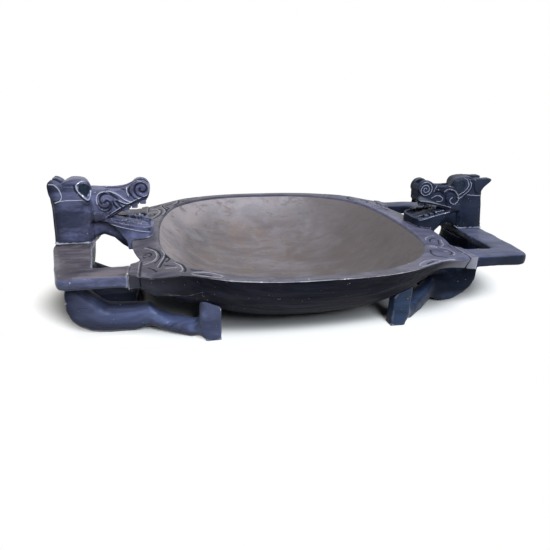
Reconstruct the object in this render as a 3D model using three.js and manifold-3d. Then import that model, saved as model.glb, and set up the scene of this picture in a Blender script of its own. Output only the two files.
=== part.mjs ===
// Carved ceremonial bowl held between two kneeling end figures.
// Millimetres. X runs from figure to figure, the viewer's side is -Y, the floor is Z = 0.

import * as THREE from 'three';
import { mergeVertices } from 'three/addons/utils/BufferGeometryUtils.js';
import Module from 'manifold-3d';

const wasm = await Module();
wasm.setup();

// Driving dimensions of the bowl
const rimHeight = 144;
const baseHeight = 12;
const baseFlatShare = 0.36;
const hullHalfLength = 320;
const hullHalfWidth = 262;
const hullSquareness = 2.5;
const hullSteepness = 4;
const openingHalfLength = 262;
const openingShift = -6;
const lipThickness = 16;
const openingSquareness = 2.6;
const cavitySteepness = 3;
const floorThickness = 19;
const landSetback = 31;
const landSlope = 0.14;

// Driving dimensions of the corner wings and of the arms that they meet
const armOuterHalfSpan = 188;
const armWidth = 43;
const armHeight = 23;
const wingSetback = 14;
const wingReach = 150;
const wingBulge = 22;
const wingShoulder = 46;
const cuffLength = 11;
const cuffProud = 1.6;
const forearmLength = 112;
const upperArmWidth = 52;
const shoulderSweep = 28;
const shoulderDip = 7;
const shoulderSeatMargin = 5;
const elbowRadius = 15;
const armEdgeRound = 4;

// Driving dimensions of the figures
const neckDepth = 61;
const neckHalfWidth = 23;
const neckEdgeRound = 5;
const crownHeight = 124;
const snoutHalfWidth = 17;
const nostrilRadius = 18;
const nostrilProud = 1.6;
const skullHalfWidth = 20;
const browHalfWidth = 21;
const eyeRadius = 10.5;
const eyeSocketDepth = 5;
const eyeThickness = 3.4;
const jawHalfWidth = 34;
const jawThicknessAtTip = 19;
const jawReach = 114;
const lipBand = 6;
const mouthFloorDepth = 5;
const throatHalfWidth = 14;
const toothLength = 11;
const toothHeight = 6.5;
const thighThickness = 48;
const footThickness = 25;
const soleHalfGap = 157;
const footLength = 39;
const footFlare = 6;
const footInset = 4;
const kneeSetback = 26;
const hipToKnee = 46;
const pelvisHeight = 40;

// The two figures are cut by hand and differ. Each has its own seat, back, head height, depth of
// the neck at its base and at the crown, reach of the snout, slope of the upper lip, front of the
// brow, setback of the brow on the far side, place of the eyes and ears. Each leg has its own hip,
// knee and thigh height. The window between the left neck, arm and bowl is clear, so that figure's
// back thigh is low and near the middle.
const leftFigure = {
  seatSetback: 29,
  backReach: 9,
  headRise: 1,
  neckDepthShare: 1.12,
  crownDepthShare: 1.08,
  snoutShare: 1,
  lipSlope: 0.5,
  noseDrop: 1.5,
  browFront: -5,
  browSkew: 9,
  eyeShift: 6,
  ears: 'lobes',
  frontLeg: { hipY: 140, kneeY: 142, thighTop: 61 },
  backLeg: { hipY: 84, kneeY: 110, thighTop: 34 },
};
const rightFigure = {
  seatSetback: 69,
  backReach: 0,
  headRise: 0.94,
  neckDepthShare: 1,
  crownDepthShare: 0.6,
  snoutShare: 0.96,
  lipSlope: 0.26,
  noseDrop: 5,
  browFront: -28,
  browSkew: 8,
  eyeShift: -11,
  ears: 'points',
  frontLeg: { hipY: 113, kneeY: 119, thighTop: 56 },
  backLeg: { hipY: 113, kneeY: 119, thighTop: 56 },
};

// Fits and hidden dowels
const seamGap = 0.3;
const dowelClearance = 0.3;
const neckDowelRadius = 7;
const neckDowelSpacing = 30;
const neckDowelDepth = 32;
const shoulderDowelRadius = 6;
const shoulderDowelHalfSpan = 40;
const shoulderDowelDepth = 15;
const wristDowelRadius = 5;
const wristDowelDepth = 24;
const toePegRadius = 4;
const toePegDepth = 9;
const chinPegRadius = 4;
const chinPegDepth = 8;
const chinPegSetback = 14;

// Places worked out from the driving dimensions
const openingHalfWidth = hullHalfWidth - lipThickness;
const landCrest = openingHalfLength - landSetback;
const wristX = hullHalfLength - wingSetback;
const elbowX = wristX + forearmLength;
const neckBackX = elbowX + shoulderSweep;
const neckInnerX = neckBackX - neckDepth;
const armInnerHalfSpan = armOuterHalfSpan - armWidth;
const armMidHalfSpan = armOuterHalfSpan - armWidth / 2;
const armTop = landHeight(wristX);
const armBottom = armTop - armHeight;
const neckSeat = armTop - shoulderDip;
const headBase = neckSeat + seamGap;
const bodyTop = armBottom - seamGap;

// Height of the sloping end land at a distance from the middle of the bowl
function landHeight(x) {
  return rimHeight - landSlope * Math.max(0, Math.abs(x) - landCrest);
}

// Finishes
const stainedWood = new THREE.MeshStandardMaterial({ color: 0x2c2d38, roughness: 0.5, metalness: 0 });
const wornWood = new THREE.MeshStandardMaterial({ color: 0x3a3638, roughness: 0.55, metalness: 0 });
const bowlWood = new THREE.MeshStandardMaterial({ color: 0x4a4543, roughness: 0.65, metalness: 0 });
const shellInlay = new THREE.MeshStandardMaterial({ color: 0x1f3a40, roughness: 0.15, metalness: 0.1 });
const dowelWood = new THREE.MeshStandardMaterial({ color: 0x7a6247, roughness: 0.7, metalness: 0 });

// A closed geometry becomes a solid that can be joined and cut
function solidOf(geometry) {
  const bare = geometry.clone();
  bare.deleteAttribute('normal');
  bare.deleteAttribute('uv');
  return solidAsIs(mergeVertices(bare, 1e-4));
}

// The same for a geometry whose corners are shared already
function solidAsIs(geometry) {
  const vertProperties = new Float32Array(geometry.attributes.position.array);
  const triVerts = new Uint32Array(geometry.index.array);
  return new wasm.Manifold(new wasm.Mesh({ numProp: 3, vertProperties, triVerts }));
}

// A solid becomes a geometry again
function geometryOf(solid) {
  const mesh = solid.getMesh();
  const geometry = new THREE.BufferGeometry();
  geometry.setAttribute('position', new THREE.BufferAttribute(new Float32Array(mesh.vertProperties), 3));
  geometry.setIndex(new THREE.BufferAttribute(new Uint32Array(mesh.triVerts), 1));
  geometry.computeVertexNormals();
  return geometry;
}

function joined(solids) {
  return solids.reduce((whole, next) => whole.add(next));
}

function cut(solid, tools) {
  return tools.reduce((whole, tool) => whole.subtract(tool), solid);
}

// Rings of equal count are skinned in order, and each end is closed by a fan to its middle
function loft(rings) {
  const count = rings[0].length;
  const points = rings.flat();
  const index = [];
  for (let ring = 0; ring < rings.length - 1; ring += 1) {
    for (let step = 0; step < count; step += 1) {
      const a = ring * count + step;
      const b = ring * count + ((step + 1) % count);
      index.push(a, b, a + count, b, b + count, a + count);
    }
  }
  const closeEnd = (start, flipped) => {
    const middle = new THREE.Vector3();
    for (let step = 0; step < count; step += 1) middle.add(points[start + step]);
    points.push(middle.divideScalar(count));
    for (let step = 0; step < count; step += 1) {
      const a = start + step;
      const b = start + ((step + 1) % count);
      if (flipped) index.push(points.length - 1, b, a);
      else index.push(points.length - 1, a, b);
    }
  };
  closeEnd(0, true);
  closeEnd((rings.length - 1) * count, false);
  const geometry = new THREE.BufferGeometry().setFromPoints(points);
  geometry.setIndex(index);
  const solid = solidOf(geometry);
  if (solid.volume() > 0) return solid;
  const turned = [];
  for (let corner = 0; corner < index.length; corner += 3) {
    turned.push(index[corner], index[corner + 2], index[corner + 1]);
  }
  geometry.setIndex(turned);
  return solidOf(geometry);
}

// One squared oval in the plane of two directions
function ovalRing(middle, across, along, squareness, count) {
  return Array.from({ length: count }, (unused, step) => {
    const turn = (step / count) * Math.PI * 2;
    const c = Math.cos(turn);
    const s = Math.sin(turn);
    const power = 2 / squareness;
    return middle.clone()
      .addScaledVector(across, Math.sign(c) * Math.abs(c) ** power)
      .addScaledVector(along, Math.sign(s) * Math.abs(s) ** power);
  });
}

// An outline drawn in X and Z, given thickness across Y
function sideSlab(outline, fromY, toY, round = 0) {
  const shape = outline instanceof THREE.Shape ? outline : shapeOf(outline);
  const geometry = new THREE.ExtrudeGeometry(shape, {
    depth: toY - fromY - 2 * round,
    bevelEnabled: round > 0,
    bevelThickness: round,
    bevelSize: round,
    bevelOffset: -round,
    bevelSegments: 1,
    curveSegments: 8,
  });
  return solidOf(geometry.rotateX(Math.PI / 2).translate(0, toY - round, 0));
}

// An outline drawn in X and Y, given thickness upward
function planSlab(outline, fromZ, toZ, round = 0) {
  const shape = outline instanceof THREE.Shape ? outline : shapeOf(outline);
  const geometry = new THREE.ExtrudeGeometry(shape, {
    depth: toZ - fromZ - 2 * round,
    bevelEnabled: round > 0,
    bevelThickness: round,
    bevelSize: round,
    bevelOffset: -round,
    bevelSegments: 2,
    curveSegments: 8,
  });
  return solidOf(geometry.translate(0, 0, fromZ + round));
}

function shapeOf(points) {
  return new THREE.Shape(points.map(([x, y]) => new THREE.Vector2(x, y)));
}

// A smooth closed outline through hand-placed points
function smoothShape(points, divisions) {
  const curve = new THREE.CatmullRomCurve3(
    points.map(([x, y]) => new THREE.Vector3(x, y, 0)), true, 'centripetal');
  return shapeOf(curve.getPoints(divisions).slice(0, -1).map((p) => [p.x, p.y]));
}

function block(fromX, toX, fromY, toY, fromZ, toZ) {
  const geometry = new THREE.BoxGeometry(toX - fromX, toY - fromY, toZ - fromZ);
  return solidOf(geometry.translate((fromX + toX) / 2, (fromY + toY) / 2, (fromZ + toZ) / 2));
}

function roundBar(radius, from, to, sides = 20) {
  const axis = to.clone().sub(from);
  const geometry = new THREE.CylinderGeometry(radius, radius, axis.length(), sides);
  const turn = new THREE.Quaternion().setFromUnitVectors(yAxis, axis.clone().normalize());
  geometry.applyQuaternion(turn);
  const middle = from.clone().add(to).multiplyScalar(0.5);
  return solidOf(geometry.translate(middle.x, middle.y, middle.z));
}

const xAxis = new THREE.Vector3(1, 0, 0);
const yAxis = new THREE.Vector3(0, 1, 0);
const zAxis = new THREE.Vector3(0, 0, 1);

// Bowl hull: squared ovals that grow from the small flat base to the rim
function hullSolid(gap) {
  const shares = [baseFlatShare, 0.52, 0.65, 0.76, 0.85, 0.93, 1];
  const floorRise = baseFlatShare ** hullSteepness;
  return loft(shares.map((share) => {
    const rise = (share ** hullSteepness - floorRise) / (1 - floorRise);
    const middle = new THREE.Vector3(0, 0, baseHeight - gap + (rimHeight + gap - baseHeight) * rise);
    const across = xAxis.clone().multiplyScalar((hullHalfLength + gap) * share);
    const along = yAxis.clone().multiplyScalar((hullHalfWidth + gap) * share);
    return ovalRing(middle, across, along, hullSquareness, 64);
  }));
}

// Cavity: a dished floor that steepens into thin sides
function cavitySolid() {
  const shares = [0.16, 0.38, 0.56, 0.7, 0.82, 0.92, 1, 1.012];
  const floor = baseHeight + floorThickness;
  return loft(shares.map((share) => {
    const rise = share ** cavitySteepness;
    const middle = new THREE.Vector3(openingShift, 0, floor + (rimHeight - floor) * rise);
    const across = xAxis.clone().multiplyScalar(openingHalfLength * share);
    const along = yAxis.clone().multiplyScalar(openingHalfWidth * share);
    return ovalRing(middle, across, along, openingSquareness, 64);
  }));
}

// Half width of the hull's plan at a distance along the length, for a ring of the hull
function hullEdgeY(x, share) {
  const along = Math.min(1, Math.abs(x) / (hullHalfLength * share));
  return hullHalfWidth * share * (1 - along ** hullSquareness) ** (1 / hullSquareness);
}

// Which ring of the hull lies at a height
function hullShareAt(z) {
  return ((z - baseHeight) / (rimHeight - baseHeight)) ** (1 / hullSteepness);
}

// Corner wing: the land drawn out to the wrist, its side growing out of the hull's own wall
function wingSolid(sideX, sideY, gap) {
  const rootX = wristX - wingReach;
  const rimCurve = new THREE.QuadraticBezierCurve(
    new THREE.Vector2(rootX, hullEdgeY(rootX, 1)),
    new THREE.Vector2(wristX - 0.42 * wingReach, armOuterHalfSpan + wingBulge),
    new THREE.Vector2(wristX, armOuterHalfSpan),
  );
  const lowShare = hullShareAt(armBottom);
  const stations = [0, 0.2, 0.4, 0.56, 0.7, 0.85, 1].map((step) => {
    const top = rimCurve.getPoint(step);
    const hullLow = hullEdgeY(top.x, lowShare);
    const low = THREE.MathUtils.lerp(hullLow, armOuterHalfSpan, THREE.MathUtils.smoothstep(step, 0, 1));
    const inner = step < 0.6 ? armInnerHalfSpan - wingShoulder : armInnerHalfSpan;
    return { x: top.x, top: top.y, low: Math.min(low, top.y), inner };
  });
  return loft(stations.map(({ x, top, low, inner }) => [
    new THREE.Vector3(sideX * x, sideY * (inner - gap), armBottom - gap),
    new THREE.Vector3(sideX * x, sideY * (low + gap), armBottom - gap),
    new THREE.Vector3(sideX * x, sideY * (top + gap), rimHeight + gap),
    new THREE.Vector3(sideX * x, sideY * (inner - gap), rimHeight + gap),
  ]));
}

// Raised cuff carved round the wing where the wrist begins
function cuffSolid(sideX, sideY) {
  const xs = [sideX * (wristX - cuffLength), sideX * wristX].sort((a, b) => a - b);
  const inner = sideY * (armInnerHalfSpan - cuffProud);
  const outer = sideY * (armOuterHalfSpan + cuffProud);
  const ys = [Math.min(inner, outer), Math.max(inner, outer)];
  return block(xs[0], xs[1], ys[0], ys[1], armBottom - cuffProud, armTop + cuffProud);
}

// Everything above the sloping end land is cut away by this wedge
function aboveLand(sideX, gap) {
  const reach = wristX + wingReach;
  const high = rimHeight + 40;
  const outline = [
    [sideX * landCrest, rimHeight + gap],
    [sideX * reach, rimHeight - landSlope * (reach - landCrest) + gap],
    [sideX * reach, high],
    [sideX * landCrest, high],
  ];
  return sideSlab(outline, -hullHalfWidth - 20, hullHalfWidth + 20);
}

const corners = [[1, 1], [1, -1], [-1, 1], [-1, -1]];

// The bowl's outside, grown by a gap where neighbours have to clear it
function bowlBlank(gap) {
  const wings = corners.map(([sideX, sideY]) => wingSolid(sideX, sideY, gap));
  return cut(joined([hullSolid(gap), ...wings]), [aboveLand(1, gap), aboveLand(-1, gap)]);
}

// Places of the hidden dowels in a figure's own frame, with the figure on the +X side
const dowelPlaces = {
  wrist: [-1, 1].map((side) => ({
    side,
    radius: wristDowelRadius,
    from: new THREE.Vector3(wristX - wristDowelDepth, side * armMidHalfSpan, (armTop + armBottom) / 2),
    to: new THREE.Vector3(wristX + wristDowelDepth, side * armMidHalfSpan, (armTop + armBottom) / 2),
  })),
  neck: [0, 1].map((side) => ({
    side,
    radius: neckDowelRadius,
    from: new THREE.Vector3(neckMidX(side), 0, armBottom - neckDowelDepth),
    to: new THREE.Vector3(neckMidX(side), 0, headBase + neckDowelDepth),
  })),
  shoulder: [-1, 1].map((side) => ({
    side,
    radius: shoulderDowelRadius,
    from: new THREE.Vector3(shoulderDowelX(), side * shoulderDowelHalfSpan, bodyTop - shoulderDowelDepth),
    to: new THREE.Vector3(shoulderDowelX(), side * shoulderDowelHalfSpan, armBottom + shoulderDowelDepth),
  })),
  toe: [-1, 1].map((side) => ({
    side,
    radius: toePegRadius,
    from: new THREE.Vector3(toeX(), side * toeY(), hullHeightAt(toeX(), toeY()) - toePegDepth * 2),
    to: new THREE.Vector3(toeX(), side * toeY(), hullHeightAt(toeX(), toeY()) + toePegDepth),
  })),
  chin: [0].map((side) => ({
    side,
    radius: chinPegRadius,
    from: new THREE.Vector3(chinX(), 0, landHeight(chinX()) - chinPegDepth),
    to: new THREE.Vector3(chinX(), 0, landHeight(chinX()) + chinPegDepth),
  })),
};

function neckMidX(side) {
  return neckInnerX + neckDepth / 2 + (side - 0.5) * neckDowelSpacing;
}

function shoulderDowelX() {
  return (elbowX + neckBackX - upperArmWidth - neckDepth) / 2 + upperArmWidth / 2 + shoulderSweep / 4;
}

function toeX() {
  return soleHalfGap + footLength / 2;
}

function toeY() {
  return armOuterHalfSpan - footInset - footThickness / 2;
}

function chinX() {
  return neckInnerX - jawReach + chinPegSetback;
}

// Height of the hull's underside over a point of the plan
function hullHeightAt(x, y) {
  const lengthways = (Math.abs(x) / hullHalfLength) ** hullSquareness;
  const crossways = (Math.abs(y) / hullHalfWidth) ** hullSquareness;
  const share = (lengthways + crossways) ** (1 / hullSquareness);
  return baseHeight + (rimHeight - baseHeight) * share ** hullSteepness;
}

function boreFor(place) {
  const axis = place.to.clone().sub(place.from).normalize().multiplyScalar(dowelClearance);
  const from = place.from.clone().sub(axis);
  const to = place.to.clone().add(axis);
  return roundBar(place.radius + dowelClearance, from, to);
}

function mirroredPlace(place) {
  return { ...place, from: place.from.clone().multiply(opposite), to: place.to.clone().multiply(opposite) };
}

const opposite = new THREE.Vector3(-1, -1, 1);

function bowl() {
  const cuffs = corners.map(([sideX, sideY]) => cuffSolid(sideX, sideY));
  const places = [...dowelPlaces.wrist, ...dowelPlaces.toe, ...dowelPlaces.chin];
  const bores = [...places, ...places.map(mirroredPlace)].map(boreFor);
  return cut(joined([bowlBlank(0), ...cuffs]), [cavitySolid(), ...bores]);
}

// Arm yoke: both arms and the shoulders in one flat bent piece
function armYoke(figure) {
  const start = wristX + seamGap;
  const neckHalf = neckHalfWidth + shoulderSeatMargin;
  const backX = neckBackX + figure.backReach;
  const half = [
    [backX, 0],
    [backX, neckHalf],
    [elbowX, armOuterHalfSpan - elbowRadius],
    [elbowX - 0.3 * elbowRadius, armOuterHalfSpan - 0.3 * elbowRadius],
    [elbowX - elbowRadius, armOuterHalfSpan],
    [start, armOuterHalfSpan],
    [start, armInnerHalfSpan],
    [elbowX - upperArmWidth, armInnerHalfSpan],
    [neckInnerX, neckHalf],
  ];
  const otherHalf = half.slice(1).reverse().map(([x, y]) => [x, -y]);
  const overrun = 3 * armEdgeRound;
  const outline = [...half, ...otherHalf].map(([x, y]) => [x === start ? x - overrun : x, y]);
  const body = planSlab(outline, armBottom, armTop, armEdgeRound);
  const dip = solidOf(new THREE.ExtrudeGeometry(shapeOf([
    [-armInnerHalfSpan, armTop],
    [-neckHalf, neckSeat],
    [neckHalf, neckSeat],
    [armInnerHalfSpan, armTop],
    [armInnerHalfSpan, armTop + 20],
    [-armInnerHalfSpan, armTop + 20],
  ]), { depth: 3 * neckDepth + upperArmWidth, bevelEnabled: false })
    .rotateX(Math.PI / 2).rotateZ(Math.PI / 2).translate(neckBackX - 2 * neckDepth, 0, 0));
  const wide = armOuterHalfSpan + 5;
  const wristTrim = block(start - 2 * overrun, start, -wide, wide, armBottom - 5, armTop + 5);
  const places = [...dowelPlaces.wrist, ...dowelPlaces.neck, ...dowelPlaces.shoulder];
  return cut(body, [dip, wristTrim, ...places.map(boreFor)]);
}

const ankleX = soleHalfGap + footLength;
const kneeX = wristX - kneeSetback;
const footOuterHalfSpan = armOuterHalfSpan - footInset;

// Back of the seat, measured from the back of the neck
function seatPlace(figure) {
  return neckBackX - figure.seatSetback;
}

// Outer face of a leg: it splays outward from the hip to the knee and on to the foot
function legOuterY(leg, x) {
  const { mapLinear } = THREE.MathUtils;
  const ankleY = footOuterHalfSpan - footFlare;
  const hipX = kneeX + hipToKnee;
  if (x < kneeX) return mapLinear(Math.max(x, ankleX), ankleX, kneeX, ankleY, leg.kneeY);
  return mapLinear(Math.min(x, hipX), kneeX, hipX, leg.kneeY, leg.hipY);
}

// Leg: rounded sections carried from hip to ankle, with the knee pinched in above and below
function legSolid(figure, leg, side) {
  const seatX = seatPlace(figure);
  const top = leg.thighTop;
  const stations = [
    { x: seatX + 1, low: 0.8 * top, high: 1.5 * top, thick: thighThickness - 26 },
    { x: seatX - 6, low: 0.42 * top, high: 1.58 * top, thick: thighThickness - 10 },
    { x: seatX - 20, low: 0.15 * top, high: 1.46 * top, thick: thighThickness },
    { x: seatX - 38, low: 0, high: 1.2 * top, thick: thighThickness + 3 },
    { x: (seatX + kneeX) / 2, low: -2, high: top, thick: thighThickness + 3 },
    { x: kneeX + 24, low: -1, high: 0.97 * top, thick: thighThickness },
    { x: kneeX, low: 11, high: 1.06 * top, thick: thighThickness - 12 },
    { x: kneeX - 16, low: 8, high: 0.86 * top, thick: thighThickness - 12 },
    { x: kneeX - 42, low: 1, high: 39, thick: thighThickness - 10 },
    { x: ankleX + 14, low: 0, high: 35, thick: footThickness + 8 },
    { x: ankleX - 12, low: 3, high: 33, thick: footThickness },
  ];
  return loft(stations.map(({ x, low, high, thick }) => {
    const middle = new THREE.Vector3(x, side * (legOuterY(leg, x) - thick / 2), (low + high) / 2);
    const across = yAxis.clone().multiplyScalar(thick / 2);
    const along = zAxis.clone().multiplyScalar((high - low) / 2);
    return ovalRing(middle, across, along, 3, 12);
  }));
}

// Foot: an upright wedge with the heel on the floor and the toes under the bowl
function footSolid(side) {
  const outline = [
    [soleHalfGap, 0],
    [ankleX - 12, -1],
    [ankleX - 2, 10],
    [ankleX, 36],
    [ankleX, rimHeight],
    [soleHalfGap, rimHeight],
  ];
  const ys = [side * footOuterHalfSpan, side * (footOuterHalfSpan - footThickness)].sort((a, b) => a - b);
  return sideSlab(outline, ys[0], ys[1], 2.5);
}

// Torso: a column under the shoulders that spreads into the seat, further on the side whose
// hip stands further out
function torsoSolid(figure, legs, frontSide) {
  const lowBack = seatPlace(figure) - 16;
  const [frontHip, backHip] = legs.map((leg) => leg.hipY - thighThickness / 2);
  const top = shoulderDowelHalfSpan + 14;
  const backX = neckBackX + figure.backReach;
  const stations = [
    { z: -2, inner: 18, back: lowBack - 18, halves: [frontHip - 22, backHip - 22] },
    { z: 8, inner: 17, back: lowBack - 4, halves: [frontHip - 8, backHip - 8] },
    { z: 30, inner: 15, back: lowBack + 8, halves: [frontHip, backHip] },
    { z: 56, inner: 9, back: Math.max(lowBack + 12, backX - 40), halves: [frontHip - 8, backHip - 4] },
    { z: bodyTop - 22, inner: 4, back: backX - 22, halves: [top + 6, top + 2] },
    { z: bodyTop - 6, inner: 2, back: backX - 10, halves: [top, top] },
    { z: bodyTop + 4, inner: 2, back: backX - 9, halves: [top, top] },
  ];
  return loft(stations.map(({ z, inner, back, halves }) => {
    const front = Math.min(neckInnerX + inner, back - 20);
    const [frontHalf, backHalf] = halves;
    const middle = new THREE.Vector3((front + back) / 2, frontSide * (frontHalf - backHalf) / 2, z);
    const across = xAxis.clone().multiplyScalar((back - front) / 2);
    const along = yAxis.clone().multiplyScalar((frontHalf + backHalf) / 2);
    return ovalRing(middle, across, along, 3.4, 24);
  }));
}

// Pelvis: the low mass between the thighs, stopping short of the bowl
function pelvisSolid(figure, legs, frontSide) {
  const [frontInner, backInner] = legs.map((leg) => leg.hipY - thighThickness);
  const plan = smoothShape([
    [seatPlace(figure) - 24, frontSide * frontInner],
    [kneeX + 34, frontSide * (frontInner + 8)],
    [kneeX + 22, 0],
    [kneeX + 34, -frontSide * (backInner + 8)],
    [seatPlace(figure) - 24, -frontSide * backInner],
  ], 24);
  return planSlab(plan, -2, pelvisHeight, 4);
}

function body(figure, frontSide) {
  const legs = [figure.frontLeg, figure.backLeg];
  const whole = joined([
    torsoSolid(figure, legs, frontSide), pelvisSolid(figure, legs, frontSide),
    legSolid(figure, figure.frontLeg, frontSide), legSolid(figure, figure.backLeg, -frontSide),
    footSolid(1), footSolid(-1),
  ]);
  const far = neckBackX + 50;
  const aboveSeam = block(0, far, -far, far, bodyTop, rimHeight + 60);
  const belowFloor = block(0, far, -far, far, -40, 0);
  const places = [...dowelPlaces.neck, ...dowelPlaces.shoulder, ...dowelPlaces.toe];
  return cut(whole, [aboveSeam, belowFloor, bowlBlank(seamGap), ...places.map(boreFor)]);
}

// One figure's own head: lower or taller above the neck seat, shorter or longer in the snout,
// deeper or shallower from front to back at the neck and at the crown, lower at the nose, and with
// the far side of the brow cut further back
function handCut(figure, solid) {
  const { clamp, smoothstep } = THREE.MathUtils;
  const geometry = geometryOf(solid);
  const position = geometry.attributes.position;
  for (let corner = 0; corner < position.count; corner += 1) {
    const x = position.getX(corner) - neckInnerX;
    const z = position.getZ(corner) - headBase;
    const lift = clamp(z / crownHeight, 0, 1);
    const depthShare = THREE.MathUtils.lerp(figure.neckDepthShare, figure.crownDepthShare, lift);
    const share = x < 0 ? figure.snoutShare : depthShare;
    const ahead = clamp(-x / jawReach, 0, 1);
    const drop = figure.noseDrop * ahead * smoothstep(z, 0.45 * crownHeight, 0.8 * crownHeight);
    const away = -figure.frontSide * position.getY(corner);
    const farSide = smoothstep(away, -0.3 * browHalfWidth, 0.7 * browHalfWidth);
    const pastSnout = smoothstep(x, -neckDepth, -0.6 * neckDepth);
    const beforeCrown = 1 - smoothstep(x, 0.2 * neckDepth, 0.7 * neckDepth);
    const aboveCheek = smoothstep(z, 0.48 * crownHeight, 0.7 * crownHeight);
    const setback = figure.browSkew * farSide * pastSnout * beforeCrown * aboveCheek;
    position.setX(corner, neckInnerX + x * share + setback);
    position.setZ(corner, headBase + z * figure.headRise - drop);
  }
  return solidAsIs(geometry);
}

// Places on a head, from the bottom of the neck's front edge, in shares of the crown's height
const headUnit = crownHeight / 124;

function onHead(points) {
  return points.map(([x, z]) => [neckInnerX + x * headUnit, headBase + z * headUnit]);
}

// Side view of the neck and the back of the skull
function neckOutline() {
  const d = neckDepth / headUnit;
  return onHead([
    [0, 0], [d, 0], [d, 76], [d + 1, 92], [d - 5, 106], [40, 114], [10, 114], [-6, 96], [-10, 70],
    [-12, 48], [-3, 38], [0, 24],
  ]);
}

// Side view of the cheek between the neck and the snout
function cheekOutline() {
  return onHead([[16, 104], [-30, 102], [-44, 88], [-38, 60], [-30, 47], [-14, 45], [16, 45]]);
}

// Height of the upper lip at a distance in front of the neck
function lipHeight(figure, ahead) {
  return 46 + figure.lipSlope * (ahead - 28);
}

// Side view of the thrown-back upper jaw, from the crown to the nose
function snoutOutline(figure) {
  const lip = (ahead) => [-ahead, lipHeight(figure, ahead)];
  return smoothShape(onHead([
    [2, 101], [-30, 104], [-50, 104], [-64, 107], [-76, 113], [-86, 118], [-97, 120], [-105, 115],
    [-109, 104], [-108, 92], lip(104), lip(80), lip(60), [-28, 46], [2, 60],
  ]), 34);
}

// Side views of the ears: a hanging lobe on one figure, a swept point on the other
const earOutlines = {
  lobes: [
    [55, 120], [64, 122], [69, 115], [69, 104], [67, 93], [62, 85], [54, 84], [47, 90], [44, 101],
    [46, 112],
  ],
  points: [
    [18, 115], [42, 116], [57, 116], [59, 112], [52, 104], [43, 95], [36, 83], [26, 85], [20, 98],
  ],
};

function earSolid(figure, side) {
  const ys = [side * (neckHalfWidth - 13), side * (neckHalfWidth + 2)].sort((a, b) => a - b);
  const rise = figure.headRise;
  const outline = onHead(earOutlines[figure.ears].map(([x, z]) => [x, z * (rise + (1 - rise) * 0.5)]));
  return sideSlab(smoothShape(outline, 20), ys[0], ys[1], 1.5 * headUnit);
}

// Eye outline: an upright oval above, drawn to a point below
function eyeShape(radius) {
  const shape = new THREE.Shape();
  const wide = 0.82 * radius;
  const tipDrop = 1.45 * radius;
  shape.moveTo(-0.35 * wide, -tipDrop);
  shape.lineTo(0.94 * wide, -0.34 * radius);
  shape.absellipse(0, 0, wide, radius, -0.35, Math.PI + 0.1, false, 0);
  shape.lineTo(-0.35 * wide, -tipDrop);
  return shape;
}

function eyePrism(figure, radius, side, fromDepth, toDepth) {
  const geometry = new THREE.ExtrudeGeometry(eyeShape(radius), {
    depth: toDepth - fromDepth, bevelEnabled: false, curveSegments: 10,
  });
  const [[x, z]] = onHead([[figure.eyeShift, 105]]);
  geometry.rotateX(Math.PI / 2);
  const y = side > 0 ? browHalfWidth - fromDepth : -browHalfWidth + toDepth;
  return solidOf(geometry.translate(x, y, z));
}

// Brow block over the cheeks: it carries both eye sockets and ends in an upright front
function browSolid(figure) {
  const f = figure.browFront;
  const outline = smoothShape(onHead([
    [f + 1, 90], [f - 1, 102], [f, 112], [f + 5, 119], [f + 14, 122], [26, 122], [40, 117],
    [47, 109], [34, 92], [f + 16, 84],
  ]), 26);
  const front = neckInnerX + (f - 2) * headUnit;
  const back = neckInnerX + neckDepth;
  const wide = browHalfWidth;
  const plan = [
    [front, wide - 9], [front + 4, wide], [back, wide], [back, -wide], [front + 4, -wide],
    [front, 9 - wide],
  ];
  const trim = planSlab(shapeOf(plan), headBase, headBase + 2 * crownHeight);
  return sideSlab(outline, -wide, wide, 5).intersect(trim);
}

// Lower jaw: a spade-shaped slab, cut by its side view, with a raised lip and a sunken floor
function jawPlan(inset) {
  const x = neckInnerX;
  const u = headUnit;
  const shape = new THREE.Shape();
  const wide = jawHalfWidth - inset;
  const narrow = neckHalfWidth + 2 - inset;
  const tip = x - jawReach + inset;
  shape.moveTo(x - 8 * u - inset, -narrow);
  shape.lineTo(x - 8 * u - inset, narrow);
  shape.bezierCurveTo(x - 50 * u, narrow + 2, x - 66 * u, wide, x - 92 * u, wide);
  shape.bezierCurveTo(x - 112 * u, wide, tip, wide * 0.62, tip, 0);
  shape.bezierCurveTo(tip, -wide * 0.62, x - 112 * u, -wide, x - 92 * u, -wide);
  shape.bezierCurveTo(x - 66 * u, -wide, x - 50 * u, -narrow - 2, x - 8 * u - inset, -narrow);
  return shape;
}

function jawTop(x) {
  const corner = 28 * headUnit;
  const fromCorner = (neckInnerX - corner - x) / (jawReach - corner);
  const tipTop = landHeight(neckInnerX - jawReach) + jawThicknessAtTip;
  return THREE.MathUtils.lerp(headBase + 46 * headUnit, tipTop, fromCorner);
}

function jawSolid() {
  const tipX = neckInnerX - jawReach - 4;
  const cornerX = neckInnerX - 28 * headUnit;
  const side = [
    ...onHead([[-2, 60], [-2, 44], [-30, 42], [-41, 36], [-53, 22], [-64, 4], [-66, -12]]),
    [tipX, headBase - 12 * headUnit], [tipX, jawTop(tipX)], [cornerX, jawTop(cornerX)],
    ...onHead([[-22, 60]]),
  ];
  const wide = 2 * jawHalfWidth;
  const slab = planSlab(jawPlan(0), headBase - 20, headBase + crownHeight)
    .intersect(sideSlab(side, -wide, wide));
  const backX = cornerX - lipBand;
  const floorSide = [
    [backX, jawTop(backX) - mouthFloorDepth], [tipX, jawTop(tipX) - mouthFloorDepth],
    [tipX, jawTop(tipX) + 30], ...onHead([[-34, 90]]),
  ];
  const floor = planSlab(jawPlan(lipBand), headBase, headBase + crownHeight)
    .intersect(sideSlab(floorSide, -wide, wide));
  return slab.subtract(floor);
}

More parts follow.
